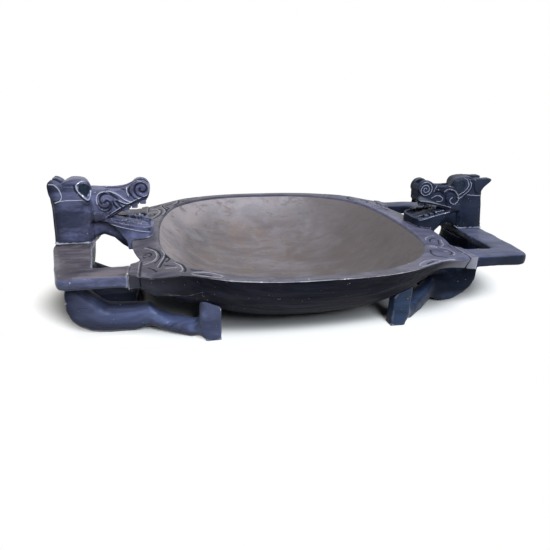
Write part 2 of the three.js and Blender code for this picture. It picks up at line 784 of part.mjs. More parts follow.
// Throat web behind the chin, narrower than the jaw above it
function throatSolid() {
  const outline = onHead([
    [4, 50], [4, 2], [0, 2], [-8, 11], [-22, 15], [-40, 8],
    [-54, -7], [-66, -16], [-90, -6], [-90, 18], [-40, 40],
  ]);
  return sideSlab(outline, -throatHalfWidth, throatHalfWidth);
}

function tongueSolid() {
  const stations = [
    { ahead: 26, lift: 2, half: 11, tall: 8 }, { ahead: 50, lift: 1, half: 13, tall: 8 },
    { ahead: 74, lift: 0, half: 14, tall: 7 }, { ahead: 94, lift: -1, half: 11, tall: 6 },
    { ahead: 104, lift: -2, half: 5, tall: 4 },
  ];
  return loft(stations.map((station) => {
    const x = neckInnerX - station.ahead * headUnit;
    const z = jawTop(x) + station.lift * headUnit - mouthFloorDepth / 2;
    const across = yAxis.clone().multiplyScalar(station.half * headUnit);
    const along = zAxis.clone().multiplyScalar(station.tall * headUnit / 2);
    return ovalRing(new THREE.Vector3(x, 0, z), across, along, 2.4, 16);
  }));
}

// Teeth: three blocks along each side of each jaw
function toothSolids(figure) {
  const teeth = [];
  for (let step = 0; step < 3; step += 1) {
    const upperAhead = 60 * headUnit + step * (toothLength + 4.5);
    const upperX = neckInnerX - upperAhead;
    const lipZ = headBase + headUnit * lipHeight(figure, (upperAhead + toothLength / 2) / headUnit);
    const lowerX = neckInnerX - 56 * headUnit - step * (toothLength + 3);
    for (const side of [-1, 1]) {
      const ys = [side * (snoutHalfWidth - 6), side * (snoutHalfWidth - 0.8)].sort((a, b) => a - b);
      teeth.push(block(upperX - toothLength, upperX, ys[0], ys[1], lipZ - toothHeight, lipZ + 8));
      const out = jawHalfWidth - lipBand - 3.5 - (2 - step) * 3.2;
      const lowerYs = [side * (out - 4), side * (out + 6)].sort((a, b) => a - b);
      const footZ = jawTop(lowerX) - mouthFloorDepth - 2;
      const tipZ = footZ + toothHeight + 4;
      teeth.push(block(lowerX - toothLength + 2, lowerX, lowerYs[0], lowerYs[1], footZ, tipZ));
    }
  }
  return teeth;
}

// Head: neck, skull, open jaws and the scrolls that carry the carving
function head(figure) {
  const [[nostrilX, nostrilZ]] = onHead([[-91, 102]]);
  const drumHalf = snoutHalfWidth + nostrilProud;
  const drum = roundBar(nostrilRadius, new THREE.Vector3(nostrilX, -drumHalf, nostrilZ),
    new THREE.Vector3(nostrilX, drumHalf, nostrilZ), 22);
  const [[curlX, curlZ]] = onHead([[-28, 75]]);
  const curl = roundBar(13, new THREE.Vector3(curlX, -browHalfWidth, curlZ),
    new THREE.Vector3(curlX, browHalfWidth, curlZ), 18);
  const noseValley = sideSlab(
    onHead([[-131, 116], [-29, 92], [-29, 142], [-131, 142]]), -snoutHalfWidth + 9, snoutHalfWidth - 9);
  const snoutSlab = sideSlab(snoutOutline(figure), -snoutHalfWidth, snoutHalfWidth, 3);
  const snout = cut(joined([snoutSlab, drum]), [noseValley]);
  const whole = joined([
    sideSlab(neckOutline(), -neckHalfWidth, neckHalfWidth, neckEdgeRound),
    sideSlab(shapeOf(cheekOutline()), -skullHalfWidth, skullHalfWidth, 2),
    block(neckInnerX + 2, neckBackX - 2, -neckHalfWidth + 1, neckHalfWidth - 1, headBase, headBase + 12),
    snout, curl, browSolid(figure),
    jawSolid(), throatSolid(), tongueSolid(), ...toothSolids(figure),
  ]);
  const sockets = [-1, 1].map((side) => eyePrism(figure, eyeRadius + seamGap, side, -4, eyeSocketDepth));
  const places = [...dowelPlaces.neck, ...dowelPlaces.chin];
  const belowSeat = block(neckInnerX - 4, neckBackX + 30, -60, 60, headBase - 30, headBase);
  const carved = handCut(figure, cut(whole, sockets));
  const eared = joined([carved, earSolid(figure, 1), earSolid(figure, -1)]);
  return cut(eared, [belowSeat, bowlBlank(seamGap), ...places.map(boreFor)]);
}

// Shell inlay that fills an eye socket, a little below the brow's face
function eyeInlay(figure, side) {
  const back = eyeSocketDepth - seamGap;
  return handCut(figure, eyePrism(figure, eyeRadius, side, back - eyeThickness, back));
}

function named(name, solid, material) {
  const mesh = new THREE.Mesh(geometryOf(solid), material);
  mesh.name = name;
  return mesh;
}

// One end figure, modelled on the +X side and turned half round for the other end
function figure(label, turn, settings) {
  const group = new THREE.Group();
  const frontSide = turn === 0 ? -1 : 1;
  const own = { ...settings, frontSide };
  const sideName = (side) => (side === frontSide ? 'front' : 'back');
  group.add(named(`${label}_head`, head(own), stainedWood));
  group.add(named(`${label}_arm_yoke`, armYoke(settings), wornWood));
  group.add(named(`${label}_torso_and_legs`, body(settings, frontSide), stainedWood));
  for (const side of [-1, 1]) {
    group.add(named(`${label}_${sideName(side)}_eye_inlay`, eyeInlay(own, side), shellInlay));
  }
  const dowel = (place) => roundBar(place.radius, place.from, place.to, 16);
  dowelPlaces.neck.forEach((place) => {
    const where = place.side === 0 ? 'inner' : 'outer';
    group.add(named(`${label}_${where}_neck_dowel`, dowel(place), dowelWood));
  });
  for (const kind of ['wrist', 'shoulder', 'toe']) {
    dowelPlaces[kind].forEach((place) => {
      group.add(named(`${label}_${sideName(place.side)}_${kind}_dowel`, dowel(place), dowelWood));
    });
  }
  dowelPlaces.chin.forEach((place) => {
    group.add(named(`${label}_chin_dowel`, dowel(place), dowelWood));
  });
  group.rotation.z = turn;
  return group;
}

const group = new THREE.Group();
group.add(named('bowl', bowl(), bowlWood));
group.add(figure('right', 0, rightFigure));
group.add(figure('left', Math.PI, leftFigure));

// The left figure's ears reach a little further out, so the whole is moved to its own middle
const bounds = new THREE.Box3().setFromObject(group);
group.position.x = -(bounds.min.x + bounds.max.x) / 2;

export default group;
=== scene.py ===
import math

import bpy
import numpy as np
from mathutils import Matrix, Vector


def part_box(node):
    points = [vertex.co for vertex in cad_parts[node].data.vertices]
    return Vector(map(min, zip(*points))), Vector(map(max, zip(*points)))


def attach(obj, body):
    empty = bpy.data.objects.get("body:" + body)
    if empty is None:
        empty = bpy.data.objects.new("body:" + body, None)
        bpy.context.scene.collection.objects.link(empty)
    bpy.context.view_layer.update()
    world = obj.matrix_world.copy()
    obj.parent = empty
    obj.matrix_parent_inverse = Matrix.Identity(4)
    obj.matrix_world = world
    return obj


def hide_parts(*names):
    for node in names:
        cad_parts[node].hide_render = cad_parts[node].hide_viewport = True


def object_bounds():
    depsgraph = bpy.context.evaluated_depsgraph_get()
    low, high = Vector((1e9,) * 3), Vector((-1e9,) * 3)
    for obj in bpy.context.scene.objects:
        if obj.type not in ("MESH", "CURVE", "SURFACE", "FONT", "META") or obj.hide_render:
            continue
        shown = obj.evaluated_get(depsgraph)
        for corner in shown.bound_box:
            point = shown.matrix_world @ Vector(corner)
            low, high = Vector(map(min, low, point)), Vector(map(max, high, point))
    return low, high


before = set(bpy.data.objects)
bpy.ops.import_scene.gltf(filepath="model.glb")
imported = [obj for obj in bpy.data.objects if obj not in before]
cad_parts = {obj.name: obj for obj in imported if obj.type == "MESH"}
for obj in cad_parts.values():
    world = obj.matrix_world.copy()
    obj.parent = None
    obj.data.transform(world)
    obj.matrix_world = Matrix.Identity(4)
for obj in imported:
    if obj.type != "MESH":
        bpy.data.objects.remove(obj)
cadLow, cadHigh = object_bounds()
bowlLow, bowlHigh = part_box("bowl")
middleX = (bowlLow[0] + bowlHigh[0]) / 2  # the bowl's own middle, a little off the object's
print("frame loaded, bowl middle at", round(middleX, 5))


shot = dict(
    place=(-0.236 + middleX, -0.81, 0.424),
    yaw=0.183985,  # towards +X
    pitch=0.30757,  # downwards
    roll=0.024319, lens=27.73, shift=(0.0513, -0.105),
)


def linked(name, data):
    item = bpy.data.objects.new(name, data)
    bpy.context.collection.objects.link(item)
    return item


# the view's axes are the level and the upright one, turned by the roll about its direction
def addCamera(s):
    cy, sy, cp, sp = math.cos(s["yaw"]), math.sin(s["yaw"]), math.cos(s["pitch"]), math.sin(s["pitch"])
    forward = Vector((sy * cp, cy * cp, -sp))
    level = Vector((cy, -sy, 0))
    upright = level.cross(forward)
    cr, sr = math.cos(s["roll"]), math.sin(s["roll"])
    right = level * cr + upright * sr
    up = upright * cr - level * sr
    data = bpy.data.cameras.new("camera")
    data.sensor_width = 36
    data.lens = s["lens"]
    data.shift_x, data.shift_y = s["shift"]
    data.clip_start, data.clip_end = 0.02, 60
    camera = linked("camera", data)
    turn = Matrix((right, up, -forward)).transposed()
    camera.matrix_world = Matrix.Translation(Vector(s["place"])) @ turn.to_4x4()
    bpy.context.scene.camera = camera


lampSettings = [
    # name, place, aim, width, height, watts, colour
    ("overhead softbox", (-0.35, -0.1, 2.0), (-0.05, 0, 0.1), 1.5, 1.2, 38, (1.0, 0.985, 0.97)),
    ("front softbox", (0.25, -1.5, 1.4), (-0.15, 0, 0.1), 0.8, 0.8, 66, (0.82, 0.9, 1.0)),
    ("right fill", (2.2, -1.2, 1.2), (0.1, 0, 0.1), 1.2, 1.2, 4, (0.9, 0.94, 1.0)),
]


def addLamps(settings):
    for name, place, aim, width, height, watts, colour in settings:
        data = bpy.data.lights.new(name, "AREA")
        data.shape = "RECTANGLE"
        data.size, data.size_y = width, height
        data.energy = watts
        data.color = colour
        lamp = linked(name, data)
        lamp.location = place
        lamp.rotation_euler = (Vector(aim) - Vector(place)).to_track_quat("-Z", "Y").to_euler()


# a socket is joined to its input, and anything else becomes the input's own value
def feed(tree, node, inputs):
    for label, value in inputs.items():
        if hasattr(value, "links"):
            tree.links.new(value, node.inputs[label])
        else:
            node.inputs[label].default_value = value


def addNode(tree, kind, inputs, **settings):
    node = tree.nodes.new("ShaderNode" + kind)
    for label, value in settings.items():
        setattr(node, label, value)
    feed(tree, node, inputs)
    return node


def mathNode(tree, operation, a, b, clamp=False):
    return addNode(tree, "Math", {0: a, 1: b}, operation=operation, use_clamp=clamp).outputs[0]


# a smooth step from toLow to toHigh while the value goes from fromLow to fromHigh
def rangeNode(tree, value, fromLow, fromHigh, toLow=0.0, toHigh=1.0):
    inputs = {"Value": value, "From Min": fromLow, "From Max": fromHigh, "To Min": toLow, "To Max": toHigh}
    return addNode(tree, "MapRange", inputs, interpolation_type="SMOOTHSTEP").outputs["Result"]


def colourMix(tree, share, *colours):
    a, b = (colour if hasattr(colour, "links") else (*colour, 1) for colour in colours)
    return addNode(tree, "Mix", {0: share, 6: a, 7: b}, data_type="RGBA").outputs[2]


def noiseNode(tree, vector, scale, detail, roughness, distortion=0.0):
    inputs = {"Vector": vector, "Scale": scale, "Detail": detail, "Roughness": roughness}
    return addNode(tree, "TexNoise", {**inputs, "Distortion": distortion}).outputs["Fac"]


def mappingNode(tree, vector, scale, shift=(0, 0, 0)):
    return addNode(tree, "Mapping", {"Vector": vector, "Scale": scale, "Location": shift}).outputs["Vector"]


def attributeNode(tree, label):
    return addNode(tree, "Attribute", {}, attribute_name=label).outputs["Fac"]


def addBump(tree, shader, height, strength, depth):
    bump = addNode(tree, "Bump", {"Height": height, "Strength": strength, "Distance": depth})
    feed(tree, shader, {"Normal": bump.outputs["Normal"]})


# a value pushed up or down by the distance of a noise from its middle, times a share
def stirred(tree, value, noise, share):
    swing = mathNode(tree, "MULTIPLY", mathNode(tree, "SUBTRACT", noise, 0.5), share)
    return mathNode(tree, "ADD", value, swing)


def newMaterial(name):
    material = bpy.data.materials.new(name)
    material.use_nodes = True
    tree = material.node_tree
    place = addNode(tree, "TexCoord", {}).outputs["Object"]
    return material, tree, tree.nodes["Principled BSDF"], place


studio = dict(
    light=(0.74, 0.84, 1.0, 1),  # what the room adds to the lamps
    strength=0.17,
    footprint=(0.53, 0.18),  # half sizes of the oval under the object that keeps its whole shadow
    paintedShadowSpan=(0.78, 1.06),  # between which shares of that oval the floor lightens
    whiteSpan=(0.84, 1.16),  # and between which it turns to the plain white of the backdrop
    paintedShadowFloor=(0.27, 0.262, 0.25), floor=(0.9, 0.87, 0.82), floorSize=6.0, floorRough=0.9,
    floorSpecular=0.1,
)


# one where a ray comes from the camera, a mirror or clear glass, and zero for plain lighting
def seenBy(tree):
    path = addNode(tree, "LightPath", {}).outputs
    direct = mathNode(tree, "MAXIMUM", path["Is Camera Ray"], path["Is Glossy Ray"])
    return mathNode(tree, "MAXIMUM", direct, path["Is Transmission Ray"])


def addWorld():
    world = bpy.data.worlds.new("studio")
    bpy.context.scene.world = world
    world.use_nodes = True
    tree = world.node_tree
    tree.nodes.clear()
    dim = addNode(tree, "Background", {"Color": studio["light"], "Strength": studio["strength"]}).outputs[0]
    white = addNode(tree, "Background", {"Color": (1, 1, 1, 1)}).outputs[0]
    mix = addNode(tree, "MixShader", {"Fac": seenBy(tree), 1: dim, 2: white})
    addNode(tree, "OutputWorld", {"Surface": mix.outputs["Shader"]})


# a flat square floor with a painted shadow under the object, which fades to plain white away from the
# object
def addFloor():
    size = studio["floorSize"]
    mesh = bpy.data.meshes.new("floor")
    corners = [(-size, -size, 0), (size, -size, 0), (size, size, 0), (-size, size, 0)]
    mesh.from_pydata(corners, [], [(0, 1, 2, 3)])
    floor = linked("floor", mesh)
    material, tree, shader, place = newMaterial("white sweep")
    ovals = mappingNode(tree, place, (1 / studio["footprint"][0], 1 / studio["footprint"][1], 1))
    away = addNode(tree, "VectorMath", {0: ovals}, operation="LENGTH").outputs["Value"]
    # painted shadow: the floor's own colour turns dark towards the middle of the oval
    under = rangeNode(tree, away, *studio["paintedShadowSpan"])
    feed(tree, shader, {
        "Base Color": colourMix(tree, under, studio["paintedShadowFloor"], studio["floor"]),
        "Roughness": studio["floorRough"],
        "Specular IOR Level": studio["floorSpecular"],
    })
    far = mathNode(tree, "MULTIPLY", rangeNode(tree, away, *studio["whiteSpan"]), seenBy(tree))
    white = addNode(tree, "Emission", {}).outputs["Emission"]
    mix = addNode(tree, "MixShader", {"Fac": far, 1: shader.outputs["BSDF"], 2: white})
    feed(tree, tree.nodes["Material Output"], {"Surface": mix.outputs["Shader"]})
    mesh.materials.append(material)


addCamera(shot)
addLamps(lampSettings)
addWorld()
addFloor()
bpy.context.scene.view_settings.view_transform = "Standard"
print("camera, lamps and floor")


noises = dict(  # scale, detail, roughness, distortion
    grain=(1.0, 6, 0.62, 0.3), streak=(1.0, 5, 0.7), blotch=(11.0, 5, 0.6, 0.6),
    fineWear=(70.0, 5, 0.65), broadWear=(14.0, 3, 0.5), chip=(120.0, 2, 0.5), speck=(210.0, 2, 0.5),
)
fades = dict(  # between which values a mask goes from nothing to all, or between the two further values
    grain=(0.35, 0.68), upward=(0.5, 0.95), topGrain=(0.3, 0.6, 0.55, 1), topMottle=(0.42, 0.58),
    groove=(0.12, 0.7), ridge=(0.12, 0.75), ridgeStreak=(0.34, 0.52, 0.45, 1), chip=(0.64, 0.68),
    chipEdge=(0.75, 1.0), speck=(0.73, 0.78), cloud=(0.35, 0.7),
)


def newGroup(name, takes, gives):
    group = bpy.data.node_groups.new(name, "ShaderNodeTree")
    for label, kind in takes.items():
        group.interface.new_socket(name=label, in_out="INPUT", socket_type="NodeSocket" + kind)
    for label in gives:
        group.interface.new_socket(name=label, in_out="OUTPUT", socket_type="NodeSocketFloat")
    return group, group.nodes.new("NodeGroupInput").outputs, group.nodes.new("NodeGroupOutput")


# wood grain: noise drawn out along one axis, with finer tool streaks over it
def makeGrainGroup():
    takes = {"Vector": "Vector", "Stretch": "Vector"}
    group, take, give = newGroup("tool streaks", takes, ("Grain", "Streak", "Blotch"))
    factors = {0: take["Vector"], 1: take["Stretch"]}
    drawn = addNode(group, "VectorMath", factors, operation="MULTIPLY").outputs[0]
    feed(group, give, {
        "Grain": noiseNode(group, drawn, *noises["grain"]),
        "Streak": noiseNode(group, mappingNode(group, drawn, (2.2, 3.1, 3.1)), *noises["streak"]),
        "Blotch": noiseNode(group, take["Vector"], *noises["blotch"]),
    })
    return group


# where the stain is rubbed off: proud edges from the "proud" attribute, broken up by noise
def makeWearGroup():
    takes = {"Vector": "Vector", "Low": "Float", "High": "Float"}
    group, take, give = newGroup("rubbed edges", takes, ("Rubbed", "Chip"))
    kinds = ("fineWear", "broadWear", "chip")
    fine, broad, chip = (noiseNode(group, take["Vector"], *noises[kind]) for kind in kinds)
    edge = stirred(group, stirred(group, attributeNode(group, "proud"), fine, 0.9), broad, 0.7)
    spots = rangeNode(group, chip, *fades["chip"])
    feed(group, give, {
        "Rubbed": rangeNode(group, edge, take["Low"], take["High"]),
        "Chip": mathNode(group, "MULTIPLY", spots, rangeNode(group, edge, *fades["chipEdge"])),
    })
    return group


grainGroup = makeGrainGroup()
wearGroup = makeWearGroup()


# stained wood, laid on in layers: grain, tints by noise and place, the top faces' own tone with painted
# light from above, painted shade, painted shade on faces that look down, carved lines, rubbed edges, and
# chips that show the bare wood
def woodMaterial(name, s):
    material, tree, shader, place = newMaterial(name)

    def times(a, b):
        return mathNode(tree, "MULTIPLY", a, b)

    def plus(a, b, clamp=False):
        return mathNode(tree, "ADD", a, b, clamp)

    def span(value, *limits):
        return rangeNode(tree, value, *limits)

    streaks = addNode(tree, "Group", {}, node_tree=grainGroup)
    feed(tree, streaks, {"Vector": place, "Stretch": s["stretch"]})
    wear = addNode(tree, "Group", {}, node_tree=wearGroup)
    feed(tree, wear, {"Vector": place, "Low": s["wearLow"], "High": s["wearHigh"]})
    grain, streak, blotch = (streaks.outputs[label] for label in ("Grain", "Streak", "Blotch"))
    where = addNode(tree, "SeparateXYZ", {0: place}).outputs
    normal = addNode(tree, "NewGeometry", {}).outputs["Normal"]
    facing = addNode(tree, "SeparateXYZ", {0: normal}).outputs["Z"]
    patchPlace = mappingNode(tree, place, (0.55, 1, 1))
    patch = noiseNode(tree, patchPlace, s["patchSize"], 8, 0.62, 0.8)
    otherPlace = mappingNode(tree, patchPlace, (1, 1, 1), (3, 5, 7))
    tints = {
        "blotch": blotch,
        # painted light: lighter with height, where a material uses it
        "high": stirred(tree, where["Z"], blotch, 0.12),
        "patch": patch,
        "otherPatch": noiseNode(tree, otherPlace, s["patchSize"] * 1.7, 6, 0.65, 0.5),
        # a tone that changes along the length, where a material uses it
        "side": stirred(tree, where["X"], blotch, 0.3),
    }

    def tinted(colour, kind, value):
        if not s[kind + "Share"]:
            return colour
        return colourMix(tree, span(value, *s[kind + "Span"], 0, s[kind + "Share"]), colour, s[kind])

    colour = colourMix(tree, span(grain, *fades["grain"]), s["dark"], s["light"])
    for kind, value in tints.items():
        colour = tinted(colour, kind, value)
    # paler where the "paleness" attribute says: painted light on the feet, the wing walls partly painted
    # light, and the upper teeth
    colour = colourMix(tree, attributeNode(tree, "paleness"), colour, s["pale"])
    # faces that look up get their own tone mixed with a painted light from above
    topMask = times(span(facing, *fades["upward"]), span(grain, *fades["topGrain"]))
    mottle = plus(times(streak, 0.35), times(patch, 0.65))
    topToneAndLight = colourMix(tree, span(mottle, *fades["topMottle"]), s["topDark"], s["top"])
    # painted sheen: the tops turn bluer towards the right end, where a material uses it
    topToneAndLight = tinted(topToneAndLight, "topSide", where["X"])
    colour = colourMix(tree, times(topMask, s["topShare"]), colour, topToneAndLight)
    shaded = times(attributeNode(tree, "shade"), s["shadeShare"])
    carved = attributeNode(tree, "carved")  # below zero in a groove, above zero on a cut ridge
    groove = span(times(carved, -1.0), *fades["groove"])
    ridge = times(span(carved, *fades["ridge"]), span(streak, *fades["ridgeStreak"]))
    speck = span(noiseNode(tree, place, *noises["speck"]), *fades["speck"], 0, s["speckShare"])
    layers = (
        # painted shade from the "shade" attribute and on faces that look down, then the cut grooves, all in
        # one near black
        (shaded, "shadeAndGrooveColour"),
        (span(times(facing, -1.0), s["belowFrom"], 0.5, 0, s["belowShare"]), "shadeAndGrooveColour"),
        (times(groove, 0.9), "shadeAndGrooveColour"),
        (times(ridge, s["ridgeShare"]), "ridge"),
        (times(wear.outputs["Rubbed"], s["rubbedShare"]), "rubbed"),
        (speck, "chip"),
        (wear.outputs["Chip"], "chip"),
    )
    for share, kind in layers:
        colour = colourMix(tree, share, colour, s[kind])
    rough = span(streak, 0.3, 0.7, s["rough"] - 0.09, s["rough"] + 0.12)
    feed(tree, shader, {
        "Base Color": colour,
        "Roughness": plus(plus(rough, times(groove, 0.2)), times(topMask, s["topRough"]), True),
        "Specular IOR Level": s["specular"],
        "Specular Tint": (*s["sheenColour"], 1),
        "Sheen Weight": s["sheen"],
        "Sheen Roughness": 0.4,
        "Sheen Tint": (*s["sheenColour"], 1),
    })
    # the painted shade also takes away the gloss
    if s["shadeShare"]:
        unshaded = mathNode(tree, "SUBTRACT", 1.0, shaded, clamp=True)
        feed(tree, shader, {"Specular IOR Level": times(unshaded, s["specular"])})
    height = plus(plus(times(grain, 0.6), times(streak, 0.4)), times(blotch, 0.8))
    addBump(tree, shader, height, s["bump"], s["bumpDepth"])
    return material


# glossy shell-like disc: blue-green clouds over near black, with fine rings from a wave
def inlayMaterial(name, s):
    material, tree, shader, place = newMaterial(name)
    cloud = noiseNode(tree, place, s["cloudSize"], 4, 0.6, 1.2)
    rings = {"Vector": place, "Scale": s["bandSize"], "Distortion": 6}
    wave = addNode(tree, "TexWave", rings).outputs["Fac"]
    colour = colourMix(tree, rangeNode(tree, cloud, *fades["cloud"]), s["dark"], s["light"])
    feed(tree, shader, {
        "Base Color": colourMix(tree, mathNode(tree, "MULTIPLY", wave, 0.3), colour, s["band"]),
        "Roughness": rangeNode(tree, cloud, 0.3, 0.7, 0.12, 0.3),
        "Specular IOR Level": s["specular"],
        "Specular Tint": s["shine"],
    })
    addBump(tree, shader, cloud, 0.15, 0.0006)
    return material


# a tint's Share is how much of it shows, and its Span is where it fades in
stained = dict(
    stretch=(5.0, 60.0, 26.0), dark=(0.01, 0.012, 0.024), light=(0.052, 0.059, 0.108),
    blotch=(0.042, 0.039, 0.06), blotchSpan=(0.42, 0.7), blotchShare=0.6, sideShare=0.0,
    highShare=0.0, top=(0.06, 0.058, 0.078), topDark=(0.028, 0.028, 0.042), topShare=0.4,
    topRough=0.04, topSideShare=0.0, shadeAndGrooveColour=(0.003, 0.004, 0.008),
    patch=(0.03, 0.034, 0.06), patchSize=24.0, patchSpan=(0.5, 0.6), patchShare=0.5,
    otherPatch=(0.02, 0.018, 0.026), otherPatchSpan=(0.52, 0.64), otherPatchShare=0.5,
    pale=(0.135, 0.134, 0.158), belowShare=0.85, belowFrom=0.0, shadeShare=0.0,
    ridge=(0.42, 0.42, 0.46), ridgeShare=0.6, speckShare=0.5, rubbed=(0.3, 0.3, 0.33),
    rubbedShare=0.5, chip=(0.66, 0.64, 0.6), wearLow=0.66, wearHigh=1.25, rough=0.34, specular=0.2,
    sheen=0.03, sheenColour=(0.74, 0.76, 1.0), bump=0.6, bumpDepth=0.0018,
)
# the left figure's copies of the stain are lighter than the plain one: painted light for the lamps falling
# more on that figure
leftHead = dict(
    stained, dark=(0.014, 0.017, 0.034), light=(0.106, 0.112, 0.198), shadeShare=0.9,
    top=(0.072, 0.076, 0.128), speckShare=0.35,
)
leftArms = dict(
    stained, light=(0.084, 0.093, 0.16), top=(0.098, 0.083, 0.087), topDark=(0.036, 0.029, 0.03),
    topShare=0.9, rubbedShare=0.3, shadeShare=0.8,
)
# the left legs: painted light on faces that look up, painted shade on faces that look down (starting on
# faces tilted slightly up) and at the left end, painted light on the feet
leftLegs = dict(
    stained, dark=(0.012, 0.014, 0.03), light=(0.084, 0.103, 0.196), belowFrom=-0.4,
    pale=(0.118, 0.138, 0.24), side=(0.026, 0.031, 0.06), sideSpan=(-0.26, -0.36), sideShare=0.6,
    belowShare=0.97, top=(0.074, 0.095, 0.182), topDark=(0.046, 0.058, 0.114), topShare=0.55,
    shadeShare=0.92, speckShare=0.35,
)
# the right figure's wood: a dark copy of the stain, painting the shade that figure stands in, with painted
# light on the tops of its arms and legs
shadedStain = dict(
    stained, dark=(0.003, 0.005, 0.01), light=(0.015, 0.02, 0.043), blotch=(0.012, 0.014, 0.02),
    patch=(0.01, 0.014, 0.026), otherPatch=(0.006, 0.007, 0.01), top=(0.04, 0.046, 0.075),
    topDark=(0.018, 0.022, 0.04), rough=0.38, specular=0.1, sheen=0.01, pale=(0.07, 0.072, 0.085),
    ridge=(0.25, 0.26, 0.31), ridgeShare=0.8, rubbedShare=0.25, speckShare=0.35, shadeShare=0.7,
)
rightArms = dict(
    shadedStain, top=(0.078, 0.083, 0.134), topDark=(0.052, 0.057, 0.094), topShare=0.85,
    rubbedShare=0.2,
)
rightLegs = dict(
    shadedStain, light=(0.021, 0.036, 0.072), top=(0.032, 0.05, 0.098), topDark=(0.018, 0.028, 0.056),
    topShare=0.85, pale=(0.026, 0.042, 0.08),
)
handled = dict(
    stained, rubbed=(0.38, 0.37, 0.4), rubbedShare=0.65, wearLow=0.5, wearHigh=0.95,
)
# the rim: painted light on its top faces, and a painted bluish sheen on the tops towards the right end
land = dict(
    handled, dark=(0.01, 0.011, 0.02), light=(0.03, 0.032, 0.052), top=(0.1, 0.092, 0.104),
    topDark=(0.05, 0.046, 0.052), topShare=0.9, topSide=(0.072, 0.073, 0.122),
    topSideSpan=(0.1, 0.26), topSideShare=0.75, specular=0.14, ridge=(0.3, 0.29, 0.31),
)
# the outside: near black, with painted shade on faces that look down
outside = dict(
    handled, dark=(0.002, 0.0025, 0.005), light=(0.013, 0.014, 0.022), blotch=(0.013, 0.011, 0.013),
    topShare=0.0, patch=(0.005, 0.005, 0.008), otherPatch=(0.012, 0.01, 0.012), belowShare=0.3,
    speckShare=0.3, rough=0.5, specular=0.015, sheen=0.0,
)
# the hollow: painted light higher up its walls and on faces that look up, and a browner, deeper tone
# towards the right end
interior = dict(
    stained, stretch=(13.0, 44.0, 44.0), dark=(0.08, 0.07, 0.07), light=(0.118, 0.106, 0.107),
    blotch=(0.108, 0.076, 0.06), blotchShare=0.9, patch=(0.136, 0.123, 0.134),
    otherPatch=(0.082, 0.061, 0.05), patchSize=28.0, side=(0.056, 0.046, 0.042),
    sideSpan=(-0.02, 0.17), sideShare=0.85, high=(0.3, 0.268, 0.272), highSpan=(0.075, 0.13),
    highShare=0.55, speckShare=0.0, top=(0.135, 0.124, 0.13), topDark=(0.092, 0.082, 0.084),
    topShare=0.3, rough=0.5, sheen=0.0, bumpDepth=0.002,
)
inlay = dict(
    cloudSize=120.0, bandSize=60.0, dark=(0.005, 0.008, 0.013), light=(0.012, 0.019, 0.03),
    band=(0.022, 0.032, 0.05), specular=0.12, shine=(0.6, 0.8, 1.0, 1),
)
woods = {
    "left head": leftHead, "right head": shadedStain, "left leg": leftLegs, "right leg": rightLegs,
    "left arm": leftArms, "right arm": rightArms, "bowl outside": outside, "bowl rim": land,
    "bowl inside": interior,
}
materials = {name: woodMaterial(name + " wood", settings) for name, settings in woods.items()}
materials["eye inlay"] = inlayMaterial("eye inlay", inlay)
print("materials made")


def linkMesh(name, mesh, layers):
    setPoints(mesh, np.clip(pointsOf(mesh), cadLow, cadHigh))  # hand-cut waves never leave the CAD's box
    piece = linked(name, mesh)
    for material in layers:
        mesh.materials.append(materials[material])
    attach(piece, "root")
    return piece


# one property of every item in a mesh's list, as rows of numbers
def rowsOf(items, label, width, kind):
    flat = np.empty(len(items) * width, kind)
    items.foreach_get(label, flat)
    return flat.reshape(-1, width)


def pointsOf(mesh):
    return rowsOf(mesh.vertices, "co", 3, np.float32).astype(np.float64)


def normalsOf(mesh):
    return rowsOf(mesh.vertex_normals, "vector", 3, np.float32).astype(np.float64)


def edgesOf(mesh):
    return rowsOf(mesh.edges, "vertices", 2, np.int32)


def trianglesOf(mesh):
    mesh.calc_loop_triangles()
    return rowsOf(mesh.loop_triangles, "vertices", 3, np.int32)


# distance from the bowl's middle along the length, and height
def sideways(points):
    return np.abs(points[:, 0] - middleX), points[:, 2]


def setPoints(mesh, points):
    mesh.vertices.foreach_set("co", points.astype(np.float32).ravel())
    mesh.update()


def setValues(mesh, label, values):
    mesh.attributes.new(label, "FLOAT", "POINT").data.foreach_set("value", values.astype(np.float32))


# zero below the low value, one above the high one, smooth between them
def fadeIn(value, low, high):
    step = np.clip((value - low) / (high - low), 0, 1)
    return step * step * (3 - 2 * step)


# one at zero, falling off on both sides with the square of the value over its reach
def bell(value, reach):
    return np.exp(-((value / reach) ** 2))


# mean of each point's neighbours: sums over the edges, divided by how many edges meet there
def neighbourMean(values, edges):
    count = len(values)
    meet = np.bincount(edges.ravel(), minlength=count)
    columns = values.reshape(count, -1)
    means = np.empty_like(columns)
    for column in range(columns.shape[1]):
        total = np.bincount(edges[:, 0], columns[edges[:, 1], column], count)
        total += np.bincount(edges[:, 1], columns[edges[:, 0], column], count)
        means[:, column] = total / np.maximum(meet, 1)
    return means.reshape(values.shape)


# a step towards the mean of the neighbours
def stepped(points, edges, share):
    return points + share * (neighbourMean(points, edges) - points)


# rounds off facets without shrinking: a step towards the neighbours, then a slightly longer one back
def relax(points, edges, rounds):
    for _ in range(rounds):
        points = stepped(stepped(points, edges, 0.5), edges, -0.52)
    return points


# plain averaging with the neighbours, as strong as each point's own share, which rounds edges over
def soften(points, edges, rounds, share):
    for _ in range(rounds):
        points = stepped(points, edges, 0.5 * share[:, None])
    return points


# how far each point stands out from a much smoother copy of the surface, along its normal
def markProud(mesh, reach, scale):
    points, edges, normals = pointsOf(mesh), edgesOf(mesh), normalsOf(mesh)
    soft = points
    for _ in range(reach):
        soft = neighbourMean(soft, edges)
    stand = neighbourMean(np.einsum("ij,ij->i", points - soft, normals), edges)
    setValues(mesh, "proud", np.clip(stand / scale, -1, 1))


